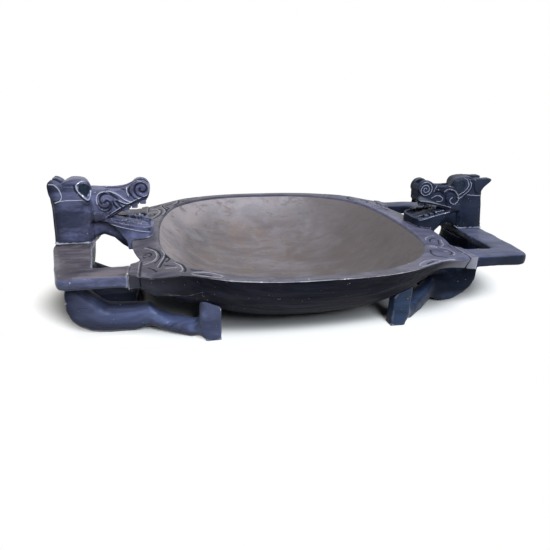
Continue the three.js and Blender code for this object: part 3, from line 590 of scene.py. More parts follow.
# smooth value noise: numbers mixed from a lattice place and the seed, blended with a cubic fade
def softNoise(points, size, seed):
    cells = points / size
    base = np.floor(cells).astype(np.int64)
    part = cells - base
    part = part * part * (3 - 2 * part)
    total = np.zeros(len(points))
    for corner in np.ndindex(2, 2, 2):
        x, y, z = (base + corner).T
        mixed = x * 73856093 ^ y * 19349663 ^ z * 83492791 ^ seed * 2654435
        weight = np.where(corner, part, 1 - part).prod(1)
        total += ((mixed % 100003) / 100003.0 * 2 - 1) * weight
    return total


# a smooth line through a few points: cubic pieces whose slope at a point follows its neighbours
def smoothLine(points, steps=8):
    p = np.reshape(points, (-1, 2)).astype(float)
    if len(p) < 3:
        return p
    q = np.vstack([2 * p[0] - p[1], p, 2 * p[-1] - p[-2]])
    t = np.linspace(0, 1, steps, endpoint=False)[:, None]
    runs = []
    for a, b, c, d in zip(q, q[1:], q[2:], q[3:]):
        bend = (2 * a - 5 * b + 4 * c - d) * t**2 + (3 * b - a - 3 * c + d) * t**3
        runs.append(0.5 * (2 * b + (c - a) * t + bend))
    return np.vstack(runs + [p[-1:]])


# a spiral: the radius shrinks steadily from outer to inner while the angle runs on by its turns
def spiral(centre, outer, inner, startDegrees, turns):
    share = np.linspace(0, 1, 60)
    angle = np.radians(startDegrees) + share * turns * 2 * np.pi
    radius = outer + (inner - outer) * share**0.9
    return np.stack([centre[0] + radius * np.cos(angle), centre[1] + radius * np.sin(angle)], 1)


# shortest distance from each flat point to a line of short straight pieces
def lineDistance(flat, line):
    best = np.full(len(flat), 1e9)
    for a, b in zip(line[:-1], line[1:]):
        run = b - a
        share = np.clip(((flat - a) @ run) / max(run @ run, 1e-12), 0, 1)
        gap = flat - a - share[:, None] * run
        best = np.minimum(best, np.einsum("ij,ij->i", gap, gap))
    return np.sqrt(best)


# each line is a bell in cross section: a raised one's mark is narrower than its height
def carveLines(flat, lines):
    rise = np.zeros(len(flat))
    mark = np.zeros(len(flat))
    for width, height, line in lines:
        if isinstance(line, list):
            line = smoothLine(line)
        near = np.all((flat > line.min(0) - 3 * width) & (flat < line.max(0) + 3 * width), axis=1)
        gap = lineDistance(flat[near], line)
        rise[near] += height * bell(gap, width)
        mark[near] += bell(gap, 0.6 * width) if height > 0 else -bell(gap, width)
    return rise, np.clip(mark, -1, 1)


# a CAD node's own shape as an even fine mesh, ready to be carved
def fineCopy(nodeName, voxel, rounds):
    work = linked("work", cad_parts[nodeName].data.copy())
    work.modifiers.new("weld", "WELD").merge_threshold = 1e-6
    skin = work.modifiers.new("skin", "REMESH")
    skin.mode = "VOXEL"
    skin.voxel_size = voxel
    made = bpy.data.meshes.new_from_object(work.evaluated_get(bpy.context.evaluated_depsgraph_get()))
    bpy.data.objects.remove(work)
    made.materials.clear()
    setPoints(made, relax(pointsOf(made), edgesOf(made), rounds))
    made.shade_smooth()
    return made


hull = dict(length=0.32, width=0.262, squareness=2.5, base=0.012, flat=0.36, steepness=4.0)
hollow = dict(length=0.262, width=0.246, squareness=2.6, base=0.031, flat=0.0, steepness=3.0)
bowl = dict(
    rim=0.144,
    hollowShift=-0.006,  # the hollow sits a little towards the left figure
    landCrest=0.231, landSlope=0.14, wristX=0.306, wingReach=0.15, wingBulge=0.022, armOuter=0.188,
    armInner=0.145, armHeight=0.023, cuffLength=0.0155, cuffProud=0.0011, cuffFade=0.0012,
    cuffCut=(0.0025, 0.0013, 0.0012),  # how far behind the cuff its cut line runs, half width and depth
    shoulderDrop=0.006, shoulderReach=0.016, shoulderFrom=(0.2, 0.27), shoulderTo=(0.268, 0.3),
    shoulderAcross=(0.165, 0.18),
    deepDrop=0.02,  # the left end's land is deeper than the CAD's plain one, as far as its top lets it
    deepRise=(0.17, 0.225), deepFall=(0.262, 0.296), deepBelow=(0.008, 0.02),
    deepAbove=(0.05, 0.092), edgeReach=0.0017, wearMiddle=(0.13, 0.19), paleFrom=(0.2, 0.285),
    paleLeft=0.12, landRows=64, wallRows=11, fineStep=0.0017,
    coarseStep=0.0042,
)
bowl["armTop"] = bowl["rim"] - bowl["landSlope"] * (bowl["wristX"] - bowl["landCrest"])
bowl["armBottom"] = bowl["armTop"] - bowl["armHeight"]


def landHeight(x):
    return bowl["rim"] - bowl["landSlope"] * np.maximum(0, np.abs(x) - bowl["landCrest"])


# a squared oval's point for a share of its size and an angle, lifted by the share's power
def ovalPoint(s, share, angle):
    share = np.broadcast_to(share, angle.shape)
    power = 2 / s["squareness"]
    x = s["length"] * share * np.cos(angle) ** power
    y = s["width"] * share * np.sin(angle) ** power
    flat = s["flat"] ** s["steepness"]
    rise = np.maximum(0, (share ** s["steepness"] - flat) / (1 - flat))
    return np.stack([x, y, s["base"] + (bowl["rim"] - s["base"]) * rise], -1)


# the share of its size that an oval has at a height
def ovalShare(s, z):
    flat = s["flat"] ** s["steepness"]
    rise = (z - s["base"]) / (bowl["rim"] - s["base"])
    return (flat + (1 - flat) * rise) ** (1 / s["steepness"])


def hullEdge(x, share):
    along = np.minimum(1, np.abs(x) / (hull["length"] * share))
    return hull["width"] * share * (1 - along ** hull["squareness"]) ** (1 / hull["squareness"])


# signs say which quarter of the hollow a point is in
def hollowPoint(share, angle, signs):
    return ovalPoint(hollow, share, angle) * signs + (bowl["hollowShift"], 0, 0)


# how far along a line each of its points is
def runOf(line):
    return np.concatenate([[0], np.cumsum(np.linalg.norm(np.diff(line, axis=0), axis=1))])


def evenSteps(line, step):
    run = runOf(line)
    at = np.linspace(0, run[-1], max(2, int(round(run[-1] / step)) + 1))
    return np.stack([np.interp(at, run, line[:, k]) for k in range(line.shape[1])], 1)


# one quarter of the rim seen from above, from the middle of the end to the middle of the side, and
# each point's zone: the end, the corner before the wrist, the wrist, the wing's bulge, the side
def quarterOutline():
    inner, outer, wrist = bowl["armInner"], bowl["armOuter"], bowl["wristX"]
    startX = wrist - bowl["wingReach"]
    oval = ovalPoint(hull, 1.0, np.linspace(0, 0.5 * np.pi, 4000))[:, :2]
    end = oval[oval[:, 1] <= inner - 0.009]
    corner = smoothLine([end[-1], (end[-1][0] + 0.0035, inner - 0.0025), (wrist - 0.006, inner)], 12)
    wall = np.array([(wrist - 0.006, inner), (wrist, inner), (wrist, outer)])
    t = np.linspace(1, 0, 200)[:, None]
    first = np.array([startX, hullEdge(startX, 1.0)])
    middle = np.array([wrist - 0.42 * bowl["wingReach"], outer + bowl["wingBulge"]])
    bulge = (1 - t) ** 2 * first + 2 * t * (1 - t) * middle + t**2 * wall[-1]
    side = oval[oval[:, 0] <= startX]
    fine, coarse = bowl["fineStep"], bowl["coarseStep"]
    lines = ((end, coarse), (corner, fine), (wall, fine), (bulge, 1.25 * fine), (side, coarse))
    parts = [evenSteps(line, step) for line, step in lines]
    parts[:-1] = [part[:-1] for part in parts[:-1]]
    return np.vstack(parts), np.repeat(np.arange(len(parts)), [len(part) for part in parts])


# spokes for the inner rings: the outline's own angle, made never to turn back and then evened
def spokeAngles(points):
    half = hull["squareness"] / 2
    x, y = points[:, 0] / hull["length"], points[:, 1] / hull["width"]
    angle = np.arctan2(y**half, x**half)
    run = runOf(points)
    mixed = 0.55 * np.maximum.accumulate(angle) + 0.45 * run / run[-1] * 0.5 * np.pi
    before = mixed[0] - (mixed[1:8] - mixed[0])[::-1]
    after = mixed[-1] + (mixed[-1] - mixed[-8:-1])[::-1]
    even = np.convolve(np.concatenate([before, mixed, after]), np.ones(15) / 15, "valid")
    return angle, (even - even[0]) / (even[-1] - even[0]) * 0.5 * np.pi


# one quarter of the underside and the wall, as rows round the outline
def quarterRows():
    points, zones = quarterOutline()
    own, spoke = spokeAngles(points)
    x, y = points[:, 0], points[:, 1]
    end, corner, wrist, bulge, side = ((zones == zone)[:, None] for zone in range(5))
    inWing = corner | wrist | bulge
    bottom, lowShare = bowl["armBottom"], ovalShare(hull, bowl["armBottom"])

    def at(u, v, height):
        return np.stack([u, v, np.broadcast_to(height, u.shape)], 1)

    top = at(x, y, landHeight(x))
    for _ in range(8):  # where the hull's own wall meets the sloping land
        share = np.where(end[:, 0], ovalShare(hull, np.minimum(landHeight(top[:, 0]), bowl["rim"])), 1.0)
        wall = ovalPoint(hull, share, own)
        top = np.where(end, at(wall[:, 0], wall[:, 1], landHeight(wall[:, 0])), top)
    straight = at(x, y, bottom)
    edge = hullEdge(x, lowShare)
    ease = fadeIn(x, bowl["wristX"] - bowl["wingReach"], bowl["wristX"])
    wingLow = np.minimum(edge * (1 - ease) + bowl["armOuter"] * ease, y)
    low = np.where(side, at(x, edge, bottom), ovalPoint(hull, lowShare, own))
    low = np.where(bulge, at(x, wingLow, bottom), low)
    low = np.where(wrist, straight, low)
    turn = np.zeros((len(x), 1))
    turn[corner] = fadeIn(np.linspace(0, 1, corner.sum()), 0, 1)
    low = np.where(corner, low * (1 - turn) + straight * turn, low)
    ringShare = lowShare - 0.012
    rings = (*np.linspace(0.03, 0.36, 3), *np.linspace(0.44, ringShare, 11))
    rows = [ovalPoint(hull, share, spoke) for share in rings]
    lastRing = rows[-1]
    for share in np.linspace(0, 1, 6)[1:]:
        blend = lastRing * (1 - share) + low * share
        ringSize = ringShare * (1 - share) + lowShare * share
        onHull = ovalPoint(hull, ringSize, spoke * (1 - share) + own * share)
        rows.append(np.where(inWing, blend, onHull if share < 1 else low))
    under = len(rows)
    for share in np.linspace(0, 1, bowl["wallRows"] + 1)[1:]:
        straightUp = low * (1 - share) + top * share
        height = straightUp[:, 2]
        sizeThere = ovalShare(hull, np.minimum(height, bowl["rim"]))
        ring = np.where(side, at(x, hullEdge(x, sizeThere), height), ovalPoint(hull, sizeThere, own))
        rows.append(np.where(inWing, straightUp, ring))
    return np.array(rows), np.repeat([0, 1], [under, bowl["wallRows"]]), spoke


# one quarter is mirrored into the other three, and the shared spokes are dropped; then the land runs
# straight from the wall's top to the hollow's edge, and the hollow closes towards its pole; a row's
# kind is 0 under the bowl, 1 on the wall, 2 on the land and 3 in the hollow
def wholeRows():
    quarter, kinds, spoke = quarterRows()
    back = quarter[:, ::-1]
    quarters = (quarter, back * (-1, 1, 1), quarter * (-1, -1, 1), back * (1, -1, 1))
    rows = list(np.concatenate([part[:, :-1] for part in quarters], axis=1))
    angle = np.concatenate([spoke[:-1], spoke[::-1][:-1]] * 2)
    signs = np.repeat([[1, 1, 1], [-1, 1, 1], [-1, -1, 1], [1, -1, 1]], len(spoke) - 1, axis=0)
    edge = hollowPoint(1.0, angle, signs)
    for _ in range(6):
        topShare = ovalShare(hollow, landHeight(edge[:, 0]))
        edge = hollowPoint(topShare, angle, signs)
    last = rows[-1]
    spans = ((0, 0.04, 4), (0.04, 0.96, bowl["landRows"]), (0.96, 1, 4))
    landShares = np.concatenate([np.linspace(*span)[1:] for span in spans])
    for share in landShares:
        flat = last * (1 - share) + edge * share
        flat[:, 2] = landHeight(flat[:, 0])
        rows.append(flat)
    hollowShares = np.concatenate([1 - np.linspace(0, 0.05, 5)[1:], np.linspace(0.93, 0.04, 27)])
    rows += [hollowPoint(topShare * share, angle, signs) for share in hollowShares]
    return np.array(rows), np.append(kinds, np.repeat([2, 3], [len(landShares), len(hollowShares)]))


def ringQuads(rowCount, ringCount):
    r, k = np.meshgrid(np.arange(rowCount - 1) * ringCount, np.arange(ringCount), indexing="ij")
    nextK = (k + 1) % ringCount
    return np.stack([r + k, r + nextK, r + ringCount + nextK, r + ringCount + k], -1).reshape(-1, 4)


def capTriangles(start, count, pole, flip):
    k = np.arange(count)
    a, b = start + k, start + (k + 1) % count
    return np.stack([np.full(count, pole), a if flip else b, b if flip else a], 1)


# each row is blended a little with the rows beside it, which rounds the edges they pass over
def roundRows(grid, low, high):
    for _ in range(3):
        beside = 0.25 * grid[low - 1:high - 1] + 0.25 * grid[low + 1:high + 1]
        grid[low:high] = 0.5 * grid[low:high] + beside


# how far each point is from one row, measured along its own spoke
def rowGap(grid, row):
    run = np.zeros(grid.shape[:2])
    run[1:] = np.cumsum(np.linalg.norm(np.diff(grid, axis=0), axis=2), axis=0)
    return np.abs(run - run[row])


leafOutline = [
    166, 236, 180, 231.5, 196, 225, 208, 219, 206, 213.5,
    196, 212.5, 182, 216.5, 170, 224, 163, 231, 166, 236,
]

# a carved line is its half width, its height (below zero for a cut) and its places, all in millimetres;
# on the land a place is the distance from the bowl's middle and from its long centre line
landCarving = {}
landCarving["left"] = [
    (1.7, 1.1, [297, 72, 284, 84, 271, 100, 264, 119, 264, 138, 271, 151, 284, 156]),
    (1.5, -1.3, [280, 80, 265, 100, 258.5, 120, 258.5, 141, 266, 155]),
    (1.7, -1.5, spiral((282, 118), 15.0, 3.5, 70, -1.5)),
    (1.6, 1, [256, 104, 251, 122, 251.5, 138, 256, 157, 261, 175]),
    (1.7, -1.7, [247, 124, 248, 140, 253, 156, 258, 176]),
    (2, -1.7, [248, 133, 242, 148, 247, 158]),
    (1.4, -1.2, [250, 172, 243, 177, 234, 181]),
    (1.3, 0.8, [248, 186, 240, 188, 231, 191]),
    (1.5, 1.1, [234, 171, 226, 181, 222, 197, 225, 207]),
    (1.6, -1.6, [230, 169, 221, 181, 217.5, 197, 219, 206]),
    (1.7, -1.5, [209, 199, 201, 204, 193, 205]),
    (1.4, 1, leafOutline),
    (1.4, -1.2, [198, 217, 189, 221, 179, 227]),
    (1.4, -1, [276, 172, 268, 180, 262, 192]),
]
landCarving["right"] = [
    (1.6, 1.1, [243, 121, 254, 104, 268, 92, 284, 83, 291, 90, 286, 106, 278, 122, 271, 136, 259, 147]),
    (1.5, -1.4, [251, 122, 262, 107, 275, 98, 280, 104, 272, 120, 263, 134]),
    (1.4, 1, spiral((240, 151), 8.5, 1.5, 200, -1.5)),
    (1.8, -1.8, [222, 170, 215.5, 182, 217, 196, 231, 204]),
    (1.7, -1.6, [247, 152, 259, 163, 260, 177, 249, 187]),
    (1.3, 0.8, [252, 153, 264, 163, 265, 178, 254, 190]),
    (1.4, 0.9, [246, 175, 256, 172]),
    (1.3, 0.9, leafOutline),
    (1.4, -1.1, [198, 217, 189, 221, 179, 227]),
    (1.5, 0.5, [210, 218, 228, 213, 246, 206]),
    (1.4, -1.1, [284, 132, 279, 148, 284, 164]),
]


def makeBowl():
    grid, kinds = wholeRows()
    wallStart, wallEnd, landEnd = (int(np.argmax(kinds == kind)) for kind in (1, 2, 3))
    roundRows(grid, wallEnd - 3, wallEnd + 3)
    roundRows(grid, landEnd - 4, landEnd + 5)
    x, y, z = np.moveaxis(grid.copy(), 2, 0)
    u, v = np.abs(x), np.abs(y)
    onUnder, onWall, onLand, inHollow = ((kinds == kind)[:, None] for kind in range(4))
    # a raised cuff beside each wrist, with a cut line where it ends
    fromWrist = bowl["wristX"] - u
    fromCuff = fromWrist - bowl["cuffLength"]
    onWing = (v > bowl["armInner"] - 0.004) & (fromWrist < 0.03) & (z > bowl["armBottom"] - 0.004)
    outward = np.sign(v - 0.5 * (bowl["armInner"] + bowl["armOuter"])) * np.sign(y)
    behind, reach, depth = bowl["cuffCut"]
    cutLine = bell(fromCuff - behind, reach)
    ring = bowl["cuffProud"] * (1 - fadeIn(fromCuff, -bowl["cuffFade"], bowl["cuffFade"])) - depth * cutLine
    upDown = np.clip((z - 0.5 * (bowl["armTop"] + bowl["armBottom"])) / 0.01, -1, 1)
    grid[..., 1] += np.where(onWing, outward * ring * (1 - np.abs(upDown) * 0.5), 0)
    grid[..., 2] += np.where(onWing, upDown * ring, 0)
    # the wings' outer top edge slopes down towards the arm like a shoulder
    toWall = rowGap(grid, wallEnd - 1)
    wing = fadeIn(u, *bowl["shoulderFrom"]) * fadeIn(v, *bowl["shoulderAcross"])
    wing = wing * (1 - fadeIn(u, *bowl["shoulderTo"]))
    drop = onLand * (1 - fadeIn(toWall, 0, bowl["shoulderReach"]))
    drop = drop + onWall * np.clip(1 - toWall / bowl["armHeight"], 0, 1)
    grid[..., 2] -= bowl["shoulderDrop"] * wing * drop
    deep = fadeIn(-x, *bowl["deepRise"]) * (1 - fadeIn(-x, *bowl["deepFall"]))
    deep = deep * fadeIn(landHeight(x) - z, *bowl["deepBelow"]) * fadeIn(z, *bowl["deepAbove"])
    grid[..., 2] -= bowl["deepDrop"] * deep * (onUnder | onWall)
    # scrolls cut into the land of the four wings, which fade out before its edges
    carved = np.zeros(x.shape)
    toHollow = rowGap(grid, landEnd - 1)
    calm = onLand * fadeIn(toWall, 0.0012, 0.0035) * fadeIn(toHollow, 0.001, 0.003)
    calm = calm * fadeIn(fromWrist, 0.016, 0.021)
    for side, sign in (("left", -1), ("right", 1)):
        picked = (sign * x > 0.15) & (calm > 0)
        rise, mark = carveLines(np.stack([u[picked], v[picked]], 1) * 1000, landCarving[side])
        grid[..., 2][picked] += rise * calm[picked] / 1000
        carved[picked] += mark * calm[picked]
    cuffEdge = bell(fromCuff + 0.0004, 0.0007) + bell(fromWrist, 0.0007)
    carved += np.where(onWing, 0.7 * cuffEdge - cutLine, 0)
    nearMiddle = 1 - fadeIn(u, *bowl["wearMiddle"])
    edges = (0.66 + 0.38 * nearMiddle) * bell(toWall, bowl["edgeReach"])
    edges += 0.34 * bell(toHollow, bowl["edgeReach"])
    edges += 0.6 * bell(rowGap(grid, wallStart), 0.0015) * (u > 0.19) * (v > 0.13)
    # hand tool marks in the hollow, and a gentle unevenness outside
    rowCount, count = x.shape
    flat = grid.reshape(-1, 3)
    marks = softNoise(flat * (1, 1.7, 1), 0.034, 3) * 0.0005 + softNoise(flat, 0.013, 5) * 0.0002
    grid[..., 2] += inHollow * marks.reshape(x.shape) * fadeIn(toHollow, 0, 0.012)
    wave = softNoise(flat, 0.05, 9) * 0.0005
    grid[..., 2] += (onUnder | onWall) * wave.reshape(x.shape)
    poles = np.array([[0, 0, hull["base"]], [bowl["hollowShift"], 0, hollow["base"]]])
    points = np.vstack([flat, poles]) + (middleX, 0, 0)
    bottom = capTriangles(0, count, len(flat), False)
    floor = capTriangles(len(flat) - count, count, len(flat) + 1, True)
    bands = np.repeat(np.append(np.clip(kinds[:-1] - 1, 0, 2), [0, 2]), count)
    mesh = bpy.data.meshes.new("carved_bowl")
    mesh.from_pydata(points, [], ringQuads(rowCount, count).tolist() + bottom.tolist() + floor.tolist())
    mesh.polygons.foreach_set("material_index", bands.astype(np.int32))
    mesh.validate()
    mesh.shade_smooth()
    # paler wing walls, fully on the right and faintly on the left: partly the arms' stain carried onto the
    # wings, partly painted light
    paleness = onWall * np.where(x > 0, 1, bowl["paleLeft"]) * fadeIn(u, *bowl["paleFrom"])
    for label, values in (("proud", edges), ("paleness", paleness), ("carved", np.clip(carved, -1, 1))):
        setValues(mesh, label, np.append(values.ravel(), [0, 0]))
    piece = linkMesh("carved_bowl", mesh, ("bowl outside", "bowl rim", "bowl inside"))
    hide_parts("bowl")
    corners = points[trianglesOf(mesh)]
    volume = np.einsum("ij,ij->i", corners[:, 0], np.cross(corners[:, 1], corners[:, 2])).sum() / 6
    print("bowl made:", len(corners), "triangles, volume", round(volume, 6))


makeBowl()


# on a head a place is the distance from the bowl's middle and the height
headCarving = {}
headCarving["left"] = [
    (1.6, -2.3, spiral((289.5, 229.5), 16.5, 3.5, -95, 1.32)),
    (1.5, -1.6, [297, 246, 306, 241.5, 312, 233, 313, 225, 309.5, 217]),
    (1.4, 1, [301, 249, 309, 245, 315.5, 237, 317, 227, 314, 217]),
    (1.5, 1.4, [367, 196, 371, 205, 371.5, 214, 368, 222, 360, 226.5, 350, 227, 340, 223.5, 330, 217,
        320, 209, 309, 204]),
    (1.6, -1.9, [363, 203, 366, 210, 364.5, 217, 358, 221.5, 350, 221.5, 342, 217, 334, 210]),
    (1.7, -2.2, [369, 201, 364, 195.5, 356, 194, 349.5, 198, 348.5, 205, 354, 208.5, 358.5, 205]),
    (1.9, -2.2, [344, 206, 341, 199, 337, 194]),
    (1.9, -2.2, [345, 201, 347, 195, 352, 189]),
    (1.6, -1.8, [337, 206, 331, 198, 328, 195]),
    (1.3, 0.9, [335, 210, 323, 203.5, 311, 202]),
    (1.5, -1.7, [336, 206.5, 323, 200, 312, 199]),
    (1.3, -1.7, [361, 173, 331, 191, 304, 205, 277, 216]),
    (1, -1, [337, 186, 310, 200, 279, 212]),
    (1.2, 0.7, [359, 176, 331, 194, 304, 208, 280, 218.5]),
    (1.3, 0.8, [359, 169, 332, 161, 306, 155, 283, 150, 272, 147]),
    (1, 0.4, [440, 210, 425, 212, 397, 212, 389, 209]),
    (1.4, 1.1, [450, 243, 441, 242, 433.5, 233, 430.5, 221, 434.5, 212, 443.5, 208]),
    (1.6, 1.4, [404.5, 240, 396, 246.5, 383.5, 247, 379, 245, 381.5, 220, 386.5, 212.5, 396.5, 222,
        403, 232, 404.5, 240]),
    (1.7, -1.3, [409, 238, 406, 229, 397, 217, 388, 208]),
    (1.8, -1.6, [357, 228.5, 345, 231.5, 332, 232, 322, 229]),
    (1.3, 0.8, [358, 233, 342, 237.5, 328, 241, 314, 246]),
]
headCarving["right"] = [
    (1, 1.2, spiral((295, 217), 18.5, 2.0, 200, -2.5)),
    (1, 1, [316, 212, 318, 220, 324, 225, 335, 222.5, 345, 223.5, 358, 221]),
    (1.05, -1.3, [321, 211, 324, 217, 332, 218, 341, 219]),
    (2, 1, [322, 216, 326, 216]),
    (1.05, 1.3, [340, 211, 349, 216.5, 362, 213.5, 373, 203, 375.5, 192, 368, 184, 359, 186, 354, 193,
        359, 199]),
    (1.4, -1.5, [344, 207, 352, 211.5, 362, 208, 369, 200, 370, 193, 365, 189]),
    (1.1, 0.9, [312, 197, 325, 203, 339, 197, 336, 190, 326, 190]),
    (1.5, -1.4, [318, 208, 330, 211, 338, 205]),
    (1, 0.8, [281, 193, 314, 188, 341, 181, 362, 176]),
    (1.1, -1.3, [281, 189, 314, 184, 341, 178, 361, 171]),
    (1, 0.9, [269, 153, 286, 154, 310, 161, 334, 165, 356, 168]),
    (1.05, 1.2, [356, 238, 367, 243, 381, 241.5, 390, 234, 391.5, 223, 384, 212, 375, 204]),
    (1, 1.1, [361, 245, 378, 246, 394, 238, 398, 221, 388, 207, 377, 197, 369, 200]),
    (1.5, -1, [366, 247.5, 384, 247, 398, 236, 401, 219, 392, 205]),
    (1, 0.4, [390, 205, 409, 203, 430, 202]),
]


# the line under the throat along which a band of painted shade runs
throatLine = smoothLine([386, 114, 382, 130, 372, 139, 363, 144, 353, 140, 343, 133.5, 333, 126, 323, 116])
upperTeeth = smoothLine([327, 181, 306, 189, 287, 197])
head = dict(
    voxel=0.00099, neckMiddle={"left": 0.4165, "right": 0.4155}, neckHalf=0.032,
    neckLow=(0.126, 0.132), neckHigh=(0.19, 0.215), neckFrom=(0.378, 0.388),
    crown=0.3,  # share of the neck's half thickness that its two edges fall back by
    chin=(0.302, 0.017, 0.13, 0.142),  # middle and reach along the length, and heights it fades between
    chinRounds=60,
    cheek=(0.364, 0.169, 0.013),  # length, height and reach of the softened corner behind the mouth
    cheekRounds=50, shadeBack=(0.432, 0.452), throatReach=6.5, wander=0.00035, wanderFrom=0.131,
    seamNeck=0.1284,  # worn lines where a head meets the arms and the rim
    seamNeckFrom=0.375, seamChinTo=0.312,
)


# the sawn neck gets a rounded face: its thickness falls off with the cube of the distance from its
# middle; the chin and the corner behind the mouth are softened
def roundHead(side, points, edges):
    u, z = sideways(points)
    onNeck = fadeIn(z, *head["neckLow"]) * (1 - fadeIn(z, *head["neckHigh"])) * fadeIn(u, *head["neckFrom"])
    aside = np.clip(np.abs(u - head["neckMiddle"][side]) / head["neckHalf"], 0, 1.05)
    points[:, 1] *= 1 - head["crown"] * aside**3 * onNeck
    middle, reach, low, high = head["chin"]
    points = soften(points, edges, head["chinRounds"], bell(u - middle, reach) * (1 - fadeIn(z, low, high)))
    cheekU, cheekZ, cheekReach = head["cheek"]
    return soften(points, edges, head["cheekRounds"], bell(np.hypot(u - cheekU, z - cheekZ), cheekReach))


def makeHead(side):
    mesh = fineCopy(side + "_head", head["voxel"], 8)
    setPoints(mesh, roundHead(side, pointsOf(mesh), edgesOf(mesh)))
    points, normals = pointsOf(mesh), normalsOf(mesh)
    flat = np.stack(sideways(points), 1) * 1000
    # painted shade: a band under the throat, and the outer end of the left neck, which faces away from the
    # light
    back = 0.8 * fadeIn(middleX - points[:, 0], *head["shadeBack"])
    setValues(mesh, "shade", np.maximum(bell(lineDistance(flat, throatLine), head["throatReach"]), back))
    setValues(mesh, "paleness", np.exp(-((lineDistance(flat, upperTeeth) / 5) ** 4)))
    rise, mark = carveLines(flat, headCarving[side])
    outward = np.sign(normals[:, 1])
    facing = np.clip((np.abs(normals[:, 1]) - 0.45) / 0.35, 0, 1)
    weight = facing * (np.sign(points[:, 1]) == outward)
    points[:, 1] += outward * rise * weight / 1000
    wander = softNoise(points, 0.018, 21) * head["wander"]
    points += normals * wander[:, None] * (points[:, 2:3] > head["wanderFrom"])
    setPoints(mesh, points)
    markProud(mesh, 12, 0.0009)
    u, z = sideways(points)
    ragged = softNoise(points, 0.006, 77) * 0.5
    seam = bell(z - head["seamNeck"] - 0.0016 * ragged, 0.0022) * (u > head["seamNeckFrom"])
    seam += 0.8 * bell(z - landHeight(u) - 0.002, 0.0016) * (u < head["seamChinTo"])
    setValues(mesh, "carved", np.clip(mark * weight + seam * (0.7 + ragged), -1, 1))
    piece = linkMesh(side + "_carved_head", mesh, [side + " head"])
    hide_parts(side + "_head")
    print(side, "head made:", len(trianglesOf(mesh)), "triangles")


for side in ("left", "right"):
    makeHead(side)


limb = dict(
    voxel={"arm": 0.0017, "leg": 0.0021}, rounds={"arm": 26, "leg": 12}, unevenness=0.0008,
    ankle=(0.2, 0.026),  # middle and reach of the smoothed stretch between shin and foot
    ankleRounds=60,
    wristHold=(0.3075, 0.318),  # an arm keeps its sawn end up to the first, and is rounded past the second
    soleHold=(0.001, 0.005), seatHold=(0.104, 0.109),
    shadeInner=(0.105, 0.135),  # painted shade darkens a figure's inner faces and the body under its arms
    shadeWiden=0.01, shadeWidenAt=(0.345, 0.375), shadeLow=(0.01, 0.028), shadeHigh=(0.074, 0.092),
    shadeLength=(0.21, 0.235),
    shadeBack={"arm": (0.434, 0.455), "leg": (0.392, 0.43)},  # the left end faces away from the light
    # painted light: the feet are paler
    footPale=(0.186, 0.204), footPaleness=0.25, cornerRadius=0.024,
    thighDrop=0.013,  # the left thighs hang lower than the CAD's
    thighRise=(0.19, 0.255), thighFall=(0.35, 0.39), thighHeight=0.05, thighInner=(0.06, 0.1),
)


# the two outer corners in plan become arcs: past both edges of a corner's square, the longer
# of the two reaches becomes the distance from the arc's middle
def roundCorners(points, radius):
    u, y = sideways(points)[0], np.abs(points[:, 1])
    over = np.stack([u - (u.max() - radius), y - (y[u > 0.4].max() - radius)], 1)
    inCorner = (over > 0).all(1)
    scale = np.where(inCorner, over.max(1) / np.maximum(np.hypot(*over.T), 1e-9), 1)
    shift = np.where(inCorner[:, None], over * (scale - 1)[:, None], 0)
    points[:, 0] += np.sign(points[:, 0] - middleX) * shift[:, 0]
    points[:, 1] += np.sign(points[:, 1]) * shift[:, 1]
    return points


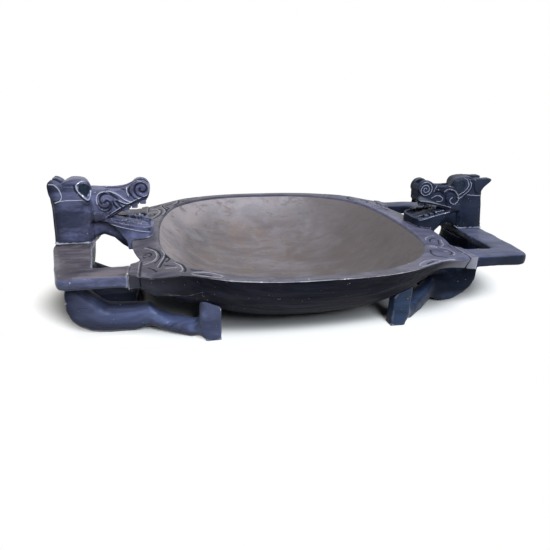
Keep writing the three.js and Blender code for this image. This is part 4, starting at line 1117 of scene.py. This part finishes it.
# a CAD limb as a fine skin: rounded by averaging, but not where it meets its neighbours, then gently
# hand cut, with its painted shade and painted light on its foot
def makeLimb(nodeName, name, side, kind, seed):
    rounds = limb["rounds"][kind]
    mesh = fineCopy(nodeName, limb["voxel"][kind], 10)
    points, edges = pointsOf(mesh), edgesOf(mesh)
    u, z = sideways(points)
    held = points.copy()
    if kind == "arm":
        share = fadeIn(u, *limb["wristHold"])
        points = roundCorners(soften(points, edges, rounds, share), limb["cornerRadius"])
    else:
        share = fadeIn(z, *limb["soleHold"]) * (1 - fadeIn(z, *limb["seatHold"]))
        points = soften(points, edges, rounds, share)
        middle, reach = limb["ankle"]
        points = soften(points, edges, limb["ankleRounds"], share * bell(u - middle, reach))
    if nodeName == "left_torso_and_legs":
        span = fadeIn(u, *limb["thighRise"]) * (1 - fadeIn(u, *limb["thighFall"]))
        span = span * fadeIn(np.abs(points[:, 1]), *limb["thighInner"])
        points[:, 2] -= limb["thighDrop"] * span * np.clip(points[:, 2] / limb["thighHeight"], 0, 1)
    setPoints(mesh, points)
    wave = softNoise(points * (0.6, 1, 1), 0.022, seed)
    wave = wave + softNoise(points, 0.008, seed + 1) * 0.3 - 0.5
    points += normalsOf(mesh) * (wave * limb["unevenness"] * share)[:, None]
    setPoints(mesh, np.where(held[:, 2:3] < 0.0008, held, points))
    markProud(mesh, 9, 0.0011)
    shade = fadeIn(middleX - points[:, 0], *limb["shadeBack"][kind])
    if kind == "leg":
        y, z = np.abs(points[:, 1]), points[:, 2]
        widen = limb["shadeWiden"] * (1 - fadeIn(u, *limb["shadeWidenAt"]))
        inner = 1 - fadeIn(y - widen, *limb["shadeInner"])
        inner = inner * fadeIn(z, *limb["shadeLow"]) * fadeIn(u, *limb["shadeLength"])
        underArms = fadeIn(z + softNoise(points, 0.02, 3) * 0.004, *limb["shadeHigh"])
        shade = np.maximum(shade, np.maximum(inner, underArms))
        setValues(mesh, "paleness", limb["footPaleness"] * (1 - fadeIn(u, *limb["footPale"])))
    setValues(mesh, "shade", shade)
    piece = linkMesh(name, mesh, [side + " " + kind])
    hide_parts(nodeName)
    print(name, "made:", len(trianglesOf(mesh)), "triangles")


for seed, side in ((31, "left"), (41, "right")):
    makeLimb(side + "_arm_yoke", side + "_arms_and_shoulders", side, "arm", seed)
    makeLimb(side + "_torso_and_legs", side + "_body_and_legs", side, "leg", seed + 5)

# the CAD nodes that stay in sight or inside the wood get their own finish
for nodeName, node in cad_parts.items():
    if nodeName.endswith("dowel"):
        node.data.materials[0] = materials[nodeName.split("_")[0] + " arm"]
    if nodeName.endswith("eye_inlay"):
        node.data.materials[0] = materials["eye inlay"]
